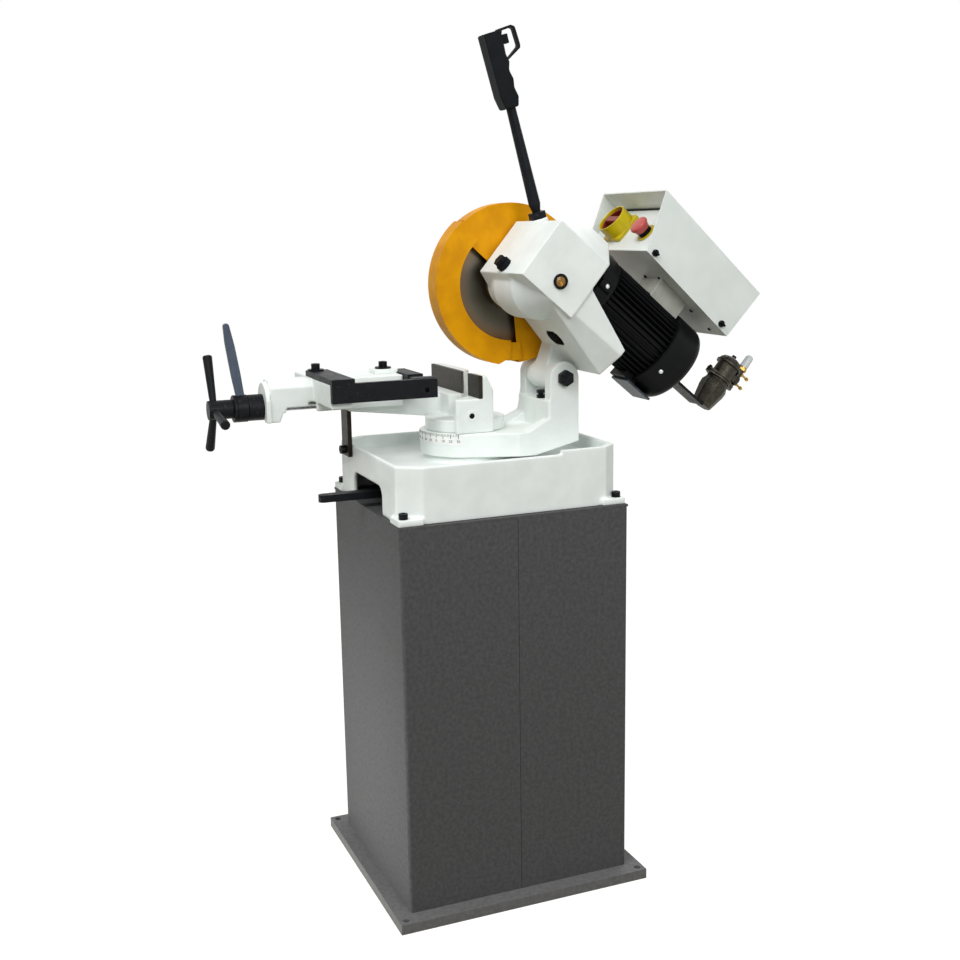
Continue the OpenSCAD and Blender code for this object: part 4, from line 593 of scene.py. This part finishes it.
def button_head():
    """Low domed screw head with a cross slot, up from its seat, for a thread of 1 mm radius."""
    dome = lathe([(0, 0), (1.9, 0), (1.9, 0.3), (1.7, 0.75), (1.2, 1.1), (0.6, 1.25), (0, 1.28)], 20)
    bar = soften(box((-0.9, -0.18, 0.9), (0.9, 0.18, 1.3)), 0.03, 1)
    return joined(dome, bar)


button_screw = stock("button_screw", button_head())


# Camera and studio


def sight_line(yaw, pitch, roll):
    """Camera axes for a view turned by yaw from -X, tipped down by pitch and rolled."""
    yaw, pitch, roll = (math.radians(a) for a in (yaw, pitch, roll))
    ahead = Vector((-math.cos(yaw) * math.cos(pitch), math.sin(yaw) * math.cos(pitch), -math.sin(pitch)))
    level = Vector((math.sin(yaw), math.cos(yaw), 0.0))
    upright = level.cross(ahead)
    right = math.cos(roll) * level + math.sin(roll) * upright
    up = math.cos(roll) * upright - math.sin(roll) * level
    return Matrix((right, up, -ahead)).transposed().to_4x4()


camera = bpy.data.objects.new("camera", bpy.data.cameras.new("camera"))
camera.data.sensor_fit = "HORIZONTAL"
camera.data.sensor_width = 36.0
camera.data.lens = 47.28
camera.data.clip_end = 60.0
camera.matrix_world = Matrix.Translation((2.1326, -0.8641, 1.2091)) @ sight_line(yaw=22.29, pitch=11.34, roll=-0.94)
scene.collection.objects.link(camera)
scene.camera = camera


def softbox(name, spot, aim, size, watts, spread=180.0):
    """Square area lamp that faces a point, its beam narrowed by a grid where a spread is given."""
    lamp = bpy.data.objects.new(name, bpy.data.lights.new(name, "AREA"))
    lamp.data.shape = "SQUARE"
    lamp.data.size = size
    lamp.data.energy = watts
    lamp.data.spread = math.radians(spread)
    spot = Vector(spot)
    facing = (Vector(aim) - spot).to_track_quat("-Z", "Y")
    lamp.matrix_world = Matrix.Translation(spot) @ facing.to_matrix().to_4x4()
    scene.collection.objects.link(lamp)


softbox("key_softbox", (1.1, -1.8, 3.6), (0.0, 0.0, 0.9), size=1.8, watts=72.0)
softbox("side_softbox", (3.0, 0.2, 2.3), (0.0, 0.0, 0.9), size=1.6, watts=43.0)
softbox("rear_softbox", (-1.8, 2.4, 2.6), (0.0, 0.0, 1.0), size=1.6, watts=20.0)
softbox("stand_softbox", (-0.6, -3.0, 0.3), (0.0, -0.2, 0.2), size=0.4, watts=1.7, spread=24.0)


def seen_directly(tree):
    """1 where the eye sees a surface straight, in metal or through glass, 0 where it lights another one."""
    path = add(tree, "ShaderNodeLightPath")
    mirrored = add(tree, "ShaderNodeMath", links={0: (path, "Is Glossy Ray"), 1: (path, "Is Transmission Ray")},
                   operation="MAXIMUM")
    return add(tree, "ShaderNodeMath", links={0: (path, "Is Camera Ray"), 1: (mirrored, "Value")},
               operation="MAXIMUM")


def studio_world():
    """White all round to the eye; on the object a soft light that falls off from above to below."""
    world = bpy.data.worlds.new("studio")
    tree = cleared(world)
    way = add(tree, "ShaderNodeTexCoord")
    height = add(tree, "ShaderNodeSeparateXYZ", links={"Vector": (way, "Generated")})
    from_above = add(tree, "ShaderNodeMapRange", links={"Value": (height, "Z")},
                     inputs={"From Min": -0.3, "From Max": 0.5, "To Min": 0.08, "To Max": 0.54})
    strength = add(tree, "ShaderNodeMix", links={0: (seen_directly(tree), "Value"), 2: (from_above, "Result")},
                   inputs={3: 1.0})
    sky = add(tree, "ShaderNodeBackground", links={"Strength": (strength, 0)}, inputs={"Color": linear("#ffffff")})
    add(tree, "ShaderNodeOutputWorld", links={"Surface": (sky, "Background")})
    scene.world = world


def studio_floor():
    """Pale floor, lifted to white for the eye, that keeps the object's shadow."""
    bm = bmesh.new()
    bmesh.ops.create_grid(bm, x_segments=2, y_segments=2, size=9.0)
    mesh = plain_mesh("floor", bm)
    made = bpy.data.materials.new("pale_floor")
    tree = cleared(made)
    paper = add(tree, "ShaderNodeBsdfDiffuse", inputs={"Color": linear("#767263")})
    lift = add(tree, "ShaderNodeMapRange", links={"Value": (seen_directly(tree), "Value")},
               inputs={"To Min": 0.0, "To Max": 0.94})
    glow = add(tree, "ShaderNodeEmission", links={"Strength": (lift, "Result")}, inputs={"Color": linear("#ffffff")})
    both = add(tree, "ShaderNodeAddShader", links={0: (paper, "BSDF"), 1: (glow, "Emission")})
    add(tree, "ShaderNodeOutputMaterial", links={"Surface": (both, "Shader")})
    mesh.materials.append(made)
    floor = bpy.data.objects.new("floor", mesh)
    scene.collection.objects.link(floor)


studio_world()
studio_floor()
scene.view_settings.view_transform = "Standard"


# Stand

SEAM = 0.4


def shell_outline(side):
    """U of bent sheet, its open ends at the seam in the cabinet's middle."""
    def bent(half, depth, bend):
        return rounded([(half, side * SEAM), (half, side * depth), (-half, side * depth), (-half, side * SEAM)],
                       (0, bend, bend, 0))
    return bent(195, 216, 7) + bent(-192, 213, 4)


for side, node in ((-1, "stand_front_shell"), (1, "stand_rear_shell")):
    piece(node + "_bent", prism(shell_outline(side), 19, 715), STAND, "stand", stand_coat, (node,))
eased("floor_plate", "stand", plate_coat, 1.4)
eased("stand_top_sheet", "stand", stand_coat, 0.8)
cast("base_tray", "stand", white_enamel, 2.6, 3)
eased("tray_bolts", "stand", black_oxide, 0.6)
eased("swivel_lock_lever", "lock_lever", black_enamel, 3.0, 3)

# Swivel arm with its angle scale

cast("swivel_arm", "swivel", white_enamel, 1.8, 4)
SCALE = shift(0, -18, 828.8)
# Radii of a mark's foot, of the numbers and of a mark's face, height of the band's top edge, and angle of the mark
# for 0.
MARK_FOOT, NUMBER_R, MARK_FACE, BAND_TOP, SCALE_ZERO = 83.4, 83.64, 83.74, 19.6, -60
# Marks of the angle scale, drawn at 0.7 to 1.1 mm so that they show.
for name, step, first, count, tall, wide in (("scale_degree_ticks", 2, -112, 42, 4.5, 0.7),
                                             ("scale_ten_ticks", 10, -110, 9, 8.0, 1.1)):
    tick = stock(name, box((MARK_FOOT, -wide / 2, BAND_TOP - tall), (MARK_FACE, wide / 2, BAND_TOP)))
    in_ring(name, tick, count, SCALE, "swivel", scale_ink, first=first, sweep=step * count)


def scale_number(value, angle):
    """A number of degrees below its mark, raised a little from the band."""
    curve = bpy.data.curves.new("number", "FONT")
    curve.body = str(value)
    curve.size = 7.0
    curve.extrude = 0.1
    curve.resolution_u = 2
    curve.align_x = "CENTER"
    mesh = plain_result(bpy.data.objects.new("number", curve))
    bm = bmesh.new()
    bm.from_mesh(mesh)
    bpy.data.meshes.remove(mesh)
    bmesh.ops.remove_doubles(bm, verts=bm.verts, dist=1e-4)
    return moved(bm, turn("Z", angle) @ shift(NUMBER_R, 0, 4.5) @ turn("Z", 90) @ turn("X", 90))


piece("scale_numbers", joined(*(scale_number(abs(v), SCALE_ZERO - v) for v in range(-30, 51, 10))), SCALE,
      "swivel", scale_ink)
eased("pivot_bolt", "swivel", black_oxide, 0.9)
eased("stop_screw", "swivel", black_oxide, 0.6)

# Vise

JAW_LOW, JAW_TOP = 910.1, 950.6
SLIDE_FRONT, SLIDE_REAR, SLIDE_TOP = -284, -122, 947.6
cast("vise_base", "stand", white_enamel, 1.7, 4)
jaw_plates = joined(prism([(-167, -20), (-8, -20), (-15, -13), (-167, -13)], JAW_LOW, JAW_TOP),
                    box((22, -20, JAW_LOW), (76, -13, JAW_TOP)))
piece("fixed_jaw_plates_ground", soften(jaw_plates, 0.6), STAND, "stand", jaw_steel,
      ("fixed_jaw_plates",))
piece("clamp_screw_end", lathe([(0, -6), (4.9, -6), (4.9, -1.4), (4.3, -0.9), (2.5, -0.9), (2.3, -3), (0, -3)], 24),
      shift(76.8, -34, 880.1) @ turn("Y", 90), "stand", black_oxide)
eased("vise_strut", "stand", mill_scale, 0.8)
eased("strut_bolt", "stand", black_oxide, 0.4)
nose = prism([(-122, 911), (-62, 911), (-62, 934), (-75, SLIDE_TOP), (-109, SLIDE_TOP), (-122, 934)], 283, 364)
flange_top = prism([(VISE_X + x, 908.6 + z) for x, z in (on_circle(35, a) for a in range(6, 175, 6))], 364, 372)
lug = [(-372, 873), (-347, 873), (-339, 893), (-372, 893)]
slide_shape = joined(
    *(box((x0, SLIDE_FRONT, low), (x1, rear, high)) for x0, x1, rear, low, high in (
        (-144, -40, SLIDE_REAR, 912.8, SLIDE_TOP), (-144, -107.8, SLIDE_REAR, 905.8, 914),
        (-76.2, -40, SLIDE_REAR, 905.8, 914), (-144, -132.8, SLIDE_REAR, 891.1, 907),
        (-51.2, -40, SLIDE_REAR, 891.1, 907), (-200, -107.8, -246, 905.8, SLIDE_TOP),
        (-76.2, 48, -246, 905.8, SLIDE_TOP))), moved(nose, turn("X", 90)), moved(flange_top, turn("X", 90)),
    *(box((x, front, low), (x + 18, rear, 913)) for front, rear, low in (
        (-364, -335, 889.6), (-336, -294.5, 898), (-296, -283, 906)) for x in (-122, -80)),
    *(box((x, -372, 873), (x + 23, -363, 913)) for x in (-127, -80)),
    *(moved(prism(lug, x, x + 18), EDGEWAYS) for x in (-122, -80)),
)
cast("vise_slide", "vise_slide", white_enamel, 1.4, 3, STAND, place_mesh(slide_shape, STAND))
eased("near_jaw_arm", "vise_slide", black_enamel, 1.2)
piece("near_arm_pin", lathe([(0, -1), (4.5, -1), (4.5, 0.4), (3.9, 0.8), (1.2, 0.8), (0.8, 0.4), (0, 0.4)], 32),
      shift(60, -112, 930.35) @ turn("Y", 90), "vise_slide", zinc_plate)
piece("far_jaw_bar", soften(box((-118, SLIDE_REAR, 916.1), (-14, -92, JAW_TOP)), 1.0), STAND, "vise_slide",
      black_enamel, ("far_jaw_block",))
piece("far_jaw_tongue", soften(box((-110, -164, SLIDE_TOP), (-74, -120, 955.6)), 1.2), STAND, "vise_slide",
      white_enamel)
eased("jaw_arm_bolts", "vise_slide", black_oxide, 0.5)
eased("clamp_housing", "vise_slide", black_enamel, 1.2)
LEVER = shift(VISE_X, -408, SCREW_Z) @ turn("X", 8.5)
lever_bar = prism(rounded([(-7, 14), (7.4, 14), (8.6, 62), (8.2, 112), (5.6, 153), (-4.6, 153), (-7.6, 118),
                           (-8.2, 60)], (0, 0, 40, 40, 5, 5, 40, 40)), -5, 5)
piece("clamp_lever_bar", soften(moved(lever_bar, EDGEWAYS), 1.5), LEVER, "clamp_lever", lever_enamel,
      ("clamp_lever",))
piece("clamp_lever_collar", lathe([(10.05, -425.3), (23.4, -425.3), (24.5, -424.2), (24.5, -421), (23.6, -420.4),
                                   (23.6, -419.2), (24.5, -418.6), (24.5, -400.9), (24.1, -400.4), (10.05, -400.4)],
                                  72, ring=True), SCREW, "clamp_lever", black_enamel)
eased("handwheel_hub", "vise_screw", black_enamel, 1.5)
spoke = stock("spoke", moved(lathe([(0, 12), (6.2, 12), (6.2, 18), (6.6, 28), (8.2, 86), (8.5, 97), (8.1, 99),
                                    (7.2, 99.8), (6, 100), (0, 100)], 28), turn("Y", 90)))
in_ring("handwheel_spokes_turned", spoke, 3, shift(VISE_X, -458.25, SCREW_Z) @ turn("X", -90), "vise_screw",
        black_enamel, first=-112.0, replaced=("handwheel_spokes",))

# Sawing head


def worm_ridge():
    """Faceted rise over the worm, from the near edge of the gearbox's top up to the motor's seat."""
    bm = bmesh.new()
    for corner in ((209, -219, 150), (209, -219, 177.6), (209, -99, 150), (209, -99, 178), (150, -146, 223),
                   (150, -99, 223), (72, -140, 223), (72, -99, 223), (50, -150, 170), (50, -99, 170)):
        bm.verts.new(corner)
    bmesh.ops.convex_hull(bm, input=bm.verts)
    return bm


cast("gearbox_casting", "head", white_enamel, 1.9, 4, HEAD,
     joined(node_copy("gearbox_casting"), place_mesh(worm_ridge(), HEAD)))


def oval(radius):
    """Outline of the oval opening under the tail."""
    return [(100 + side * 10 + x, -56 + y) for side, first in ((1, -90), (-1, 90))
            for x, y in (on_circle(radius, a) for a in range(first, first + 181, 12))]


def core_cup():
    """Dark cup in the oval opening, painted shade for the hollow inside: its mouth follows the slope of the underside.
    """
    bm = bmesh.new()
    outer, inner = oval(15.9), oval(14.4)
    rings = [[bm.verts.new((x, y, z if z else 65.8 - 0.2015 * (y - SPINDLE_Y))) for x, y in outline]
             for outline, z in ((outer, 60.4), (outer, None), (inner, None), (inner, 59.0))]
    for a, b in zip(rings, rings[1:]):
        for i in range(len(a)):
            j = (i + 1) % len(a)
            bm.faces.new([a[i], a[j], b[j], b[i]])
    bm.faces.new(rings[0])
    bm.faces.new(rings[-1])
    bmesh.ops.recalc_face_normals(bm, faces=bm.faces)
    return bm


# Painted shade: a dark cup in the tail's opening.
piece("tail_core_cup", core_cup(), HEAD, "head", painted_shade_iron)
eased("spindle_cover", "head", white_enamel, 1.0)
eased("blade_flange", "spindle", turned_steel, 0.8)
eased("blade_bolt", "spindle", black_oxide, 0.5)
eased("fixed_guard", "head", guard_enamel, 0.6)
eased("moving_guard", "moving_guard", guard_enamel, 0.7)
lip = [on_circle(r, a) for r, sweep in ((139, range(298, 319, 2)), (106, range(318, 297, -2))) for a in sweep]
piece("moving_guard_lip", soften(moved(prism(lip, 18.8, 21.1), EDGEWAYS), 0.5), HEAD @ shift(0, SPINDLE_Y, SPINDLE_Z),
      "moving_guard", guard_enamel)
eased("filler_cap", "head", black_plastic, 1.0)
eased("sight_glass_ring", "head", black_plastic, 1.2)
GLASS = HEAD @ shift(209, -156, 98.5) @ turn("Y", 90)
piece("sight_glass_reflector", lathe([(0, -3.9), (8.9, -3.9), (8.9, -0.6), (8.2, -0.6), (4.5, -2.4), (2.2, -2.6),
                                      (0, -2.6)], 40), GLASS, "head", zinc_plate)
piece("sight_glass_window", lathe([(0, 0), (8.9, 0), (8.9, 2), (7.6, 2.8), (4.6, 3.5), (0, 3.8)], 40), GLASS,
      "head", amber_glass, ("sight_glass",))

# Handle

eased("handle_nut", "head", black_enamel, 0.8)
eased("handle_rod", "head", black_enamel, 0.5)
GRIP = [(-22.5, 349), (-20.5, 244), (-15.5, 222), (9, 222), (13.4, 238), (9.6, 254), (11.8, 268), (7.6, 283), (12, 297),
        (8.6, 309), (9.2, 322), (8.8, 340), (13, 350.5)]
# The same outline with the pocket that the trigger slides in.
GRIP_POCKET = GRIP[:-2] + [(8.8, 324.6), (-1, 324.6), (-1, 345), (10.5, 345), (13, 350.5)]
GRIP_CORNERS = (3, 8, 4, 4, 8, 12, 8, 12, 6, 9, 14, 5, 3)


def grip_half(side):
    """One moulded half of the grip: an outer shell over a core with the trigger's pocket."""
    shell = soften(prism(rounded(GRIP, GRIP_CORNERS), 6.4, 15.8), 2.4, 3, 50.0,
                   lambda e: min(v.co.z for v in e.verts) > 15)
    core = prism(GRIP_POCKET, 0.2, 6.6)
    half = moved(joined(shell, core), EDGEWAYS if side > 0 else Matrix.Diagonal((-1, 1, 1, 1)) @ EDGEWAYS)
    bmesh.ops.recalc_face_normals(half, faces=half.faces)
    return half


for name, side in (("grip_left", -1), ("grip_right", 1)):
    piece(name + "_moulded", grip_half(side), HANDLE, "head", black_plastic, (name,))
loop_path = rounded([(8, 352), (34, 354), (41, 350), (43, 320), (42, 314), (10, 297), (12, 300.5), (37, 317),
                     (38.4, 320), (36.6, 347.5), (33, 349.6), (8, 347.6)], (0, 5, 6, 5, 4, 0, 0, 3, 4, 4, 3, 0))
piece("grip_finger_loop", soften(moved(prism(loop_path, -6, 6), EDGEWAYS), 1.2), HANDLE, "head", black_plastic)
eased("trigger", "trigger", black_plastic, 1.2)

# Motor

FLANGE_R, FLANGE_FLAT, FIN_COUNT, SCREW_SEAT_R = 71.5, 64, 40, 76.9


def motor_flange():
    """Round flange with four flats."""
    points = [[max(-FLANGE_FLAT, min(FLANGE_FLAT, v)) for v in on_circle(FLANGE_R, a)] for a in range(0, 360, 3)]
    return soften(prism(points, -99, -85), 1.2)


motor_body = joined(
    motor_flange(),
    lathe([(12.05, -85), (70.3, -85), (71.5, -83.8), (71.5, -74.2), (71.3, -66), (70.6, -58), (68.6, -51.5),
           (64.5, -48), (60, -47), (56.05, -47), (56.05, -73), (12.05, -73)], 96, ring=True),
    lathe([(56.05, -48), (61, -48), (61, 99), (56.05, 99)], 96, ring=True),
    *(moved(soften(prism(rounded([(60, -11), (73, -9), (77, -5), (77, 5), (73, 9), (60, 11)], 3), -84.8, -58), 1.5),
            turn("Z", a)) for a in (-5, 85, 175, 265)),
    lathe([(12.05, 98), (73.3, 98), (74.4, 99.2), (74.4, 110), (12.05, 110)], 96, ring=True),
    soften(prism([(-22, 58), (22, 58), (27, 79.3), (-27, 79.3)], 80, 109), 1.0),
)
piece("motor_body", motor_body, MOTOR, "head", motor_enamel, ("motor_housing",))
fin = stock("motor_fin", prism([(60.2, -2.4), (68.6, -1.35), (69.6, -0.9), (70, 0), (69.6, 0.9), (68.6, 1.35),
                                (60.2, 2.4)], -50, 98.5))
in_ring("motor_fins", fin, FIN_COUNT, MOTOR, "head", motor_enamel)
piece("motor_foot_plate", soften(prism(rounded([(-30, 79.2), (30, 79.2), (30, 83.2), (-30, 83.2)], 0.8, 3), 90, 150),
                                 0.6), MOTOR, "head", foot_zinc)
fan_shell = lathe([(75, 98.1), (77, 98.1), (77, 147), (76.3, 152), (74.4, 156.4), (71.4, 159.8), (67.4, 162.1),
                   (62, 163),
                   (57, 163), (57, 160.5), (62, 160.5), (66.4, 159.8), (69.8, 157.8), (72.2, 155), (73.8, 151.4),
                   (74.5, 147), (74.5, 120), (75, 112)], 96, ring=True)
hub_plate = lathe([(0, 160.5), (30, 160.5), (30, 162.4), (29.4, 163), (0, 163)], 64)
grille_rings = [lathe([(r - 1.3, 160.6), (r + 1.3, 160.6), (r + 1.3, 162.8), (r - 1.3, 162.8)], 72, ring=True)
                for r in (39, 48)]
piece("fan_cover_shell", joined(fan_shell, hub_plate, *grille_rings), MOTOR, "head", motor_enamel,
      ("fan_cover",))
grille_bar = stock("grille_bar", box((29, -1.3, 160.7), (58, 1.3, 162.7)))
in_ring("fan_cover_grille", grille_bar, 20, MOTOR, "head", motor_enamel)
motor_screw = stock("motor_screw", moved(button_head(), turn("Y", 90) @ Matrix.Scale(2.3, 4)))
for name, count, along, first in (("fan_cover_screws", 3, 116, 30.0), ("end_shield_screws", 4, -71, -5.0)):
    in_ring(name, motor_screw, count, MOTOR @ shift(0, 0, along), "head", zinc_plate, SCREW_SEAT_R,
            first)
eased("terminal_block", "head", terminal_plastic, 1.5)

# Controls

eased("electric_box", "head", sheet_enamel, 0.8)
# Black strip under the hood's top edge: painted shadow of the gap above the panel.
panel_seal = prism([(0.3, 95.8), (-1.4, 96.2), (-2.2, 97.8), (-1.4, 99.4), (0.3, 99.8)], -47.6, 179.6)
piece("panel_seal", moved(panel_seal, EDGEWAYS), PANEL, "head", black_plastic)
SWITCH = PANEL @ shift(30, 0, 50) @ turn("X", 90)
ESTOP = PANEL @ shift(131, 0, 41) @ turn("X", 90)
switch_base = joined(
    soften(prism(rounded([(-30, -30), (30, -30), (30, 30), (-30, 30)], 5), 0, 7), 1.0),
    lathe([(26.9, 6.5), (30, 6.5), (30, 30.6), (29.2, 32), (27.6, 32), (26.9, 31.2)], 64, ring=True),
)
piece("switch_base", switch_base, SWITCH, "head", yellow_plastic, ("switch_plate",))
switch_cup = joined(
    lathe([(0, -2), (5.9, -2), (5.9, 7.3), (25.2, 7.3), (26, 8.1), (26, 26), (25.2, 26.8), (24, 26.8), (23.4, 26),
           (23.4, 16), (22.6, 15), (0, 15)], 64),
    soften(prism(rounded([(-21, -6), (21, -6), (21, 6), (-21, 6)], 3), 14.6, 30.5), 1.6),
)
piece("switch_handle", switch_cup, SWITCH, "switch_knob", dark_red_plastic, ("switch_knob",))
piece("stop_collar", lathe([(8.05, 0), (18, 0), (18.5, 0.5), (18.5, 1.5), (18, 2), (8.05, 2)], 64, ring=True), ESTOP,
      "head", yellow_plastic, ("estop_collar",))
piece("stop_neck", lathe([(8.05, 1.9), (12.5, 1.9), (12.5, 5.2), (11.9, 5.6), (11.9, 6.4), (12.5, 6.8), (12.5, 10.6),
                          (12.1, 11), (8.05, 11)], 64, ring=True), ESTOP, "head", black_plastic)
piece("stop_mushroom", lathe([(0, -2), (8, -2), (8, 16.3), (12.8, 16.3), (12.8, 10.2), (13.6, 10.2), (13.9, 10.6),
                              (14.2, 13), (14.9, 16), (16.6, 18), (17.4, 20), (17.5, 22), (17, 24), (15.5, 25.4),
                              (12, 26), (6, 26.3), (0, 26.3)], 64), ESTOP, "estop_button", red_plastic,
      ("estop_button",))
eased("box_screws", "head", black_plastic, 0.8)
at_points("box_floor_screws", button_screw, [((x, y, 0), (0, 0, -1)) for x,
                                             y in ((88, 70), (134, 73), (138, 162), (142, 213))],
          PANEL, "head", black_oxide, 1.9)

# Coolant pump

OUTLET = shift(0, 29, 0)
eased("pump_bracket", "head", black_enamel, 1.0)


def two_ears(radius, ear):
    """Round flange drawn out by an ear on each side for its bolts."""
    turns = (on_circle(1, a) for a in range(0, 360, 5))
    return [(radius * x + ear * math.copysign(max(0.0, abs(x) - 0.85) / 0.15, x), radius * y) for x, y in turns]


pump_body = joined(
    soften(moved(lathe([(0, 0), (19, 0), (20.5, 3), (27, 34), (27.5, 44), (24, 52), (23, 59), (0, 59)], 8),
                 turn("Z", 22.5)), 1.8),
    *(soften(moved(prism(two_ears(24, 11), low, high), turn("Z", 90)), 1.0) for low,
      high in ((58, 62.4), (62.9, 67.5))),
    lathe([(0, 62), (21, 62), (20.4, 69), (20.2, 88), (21, 90), (25, 91), (25, 94.6), (23, 95.6), (22, 99), (18.6, 104),
           (12.5, 107.2), (6, 108), (0, 108)], 56),
    moved(lathe([(0, 14), (9.5, 14), (9.5, 28), (10.4, 28.6), (10.4, 33), (9.4, 34.4), (0, 34.4)], 32),
          shift(0, 0, 80) @ turn("X", -90)),
    moved(lathe([(0, 84), (6.6, 84), (6.6, 103), (0, 103)], 28), OUTLET),
)
piece("pump_casting", pump_body, PUMP, "head", pump_casting, ("coolant_pump",))
flange_bolt = stock("flange_bolt", moved(soften(prism(hexagon(7.5), 67, 70.5), 0.4), shift(30.5, 0, 0)))
in_ring("pump_flange_bolts", flange_bolt, 2, PUMP, "head", black_oxide, first=90.0)
rib = stock("lid_rib", moved(prism([(9, 107), (13, 106.2), (18.8, 103.2), (22.2, 98.6), (22.2, 96), (9, 96)], -0.8,
                                   0.8), turn("X", 90)))
in_ring("pump_lid_ribs", rib, 12, PUMP @ shift(0, 0, 1.0), "head", pump_casting)
piece("pump_lid_bolt", soften(prism(hexagon(9), 107, 114.6), 0.5), PUMP, "head", black_oxide)
piece("pump_cap_nut", joined(soften(moved(prism(hexagon(19), 102, 107.4), OUTLET), 0.6),
                             moved(lathe([(0, 106), (8.4, 106), (8.4, 109.6), (0, 109.6)], 32), OUTLET)), PUMP,
      "head", bronze)
piece("pump_filter_cap", moved(lathe([(0, 109), (7.8, 109), (8.2, 112), (7.6, 130), (6.8, 133.6), (4.6, 135.8),
                                      (0, 136.4)], 32), OUTLET), PUMP, "head", clear_cap)
barb = [(0, 0), (3.6, 0), (3.6, 4), (2.1, 4.6), (2.1, 13), (3.4, 14), (3.6, 17), (2.6, 19.4), (0, 20)]
piece("pump_barbs", joined(*(moved(lathe(barb, 20), shift(0, 34, z) @ turn("X", -90)) for z in (97, 76))), PUMP,
      "head", bronze)

# Pieces that keep the solid's own shape, most of them hidden inside

for finish, plain in ((tank_sheet, ("coolant_tank",)), (scale_band, ("angle_scale",)),
                      (black_oxide, ("jaw_plate_screws",)),
                      (turned_steel, ("swivel_post", "vise_screw", "spindle_bearings", "spindle", "motor_rotor")),
                      (bronze, ("vise_nut", "worm_wheel")), (blade_steel, ("blade",)),
                      (winding_copper, ("motor_stator",)), (black_plastic, ("motor_fan",))):
    for node in plain:
        nodes[node].data.materials.clear()
        nodes[node].data.materials.append(finish)
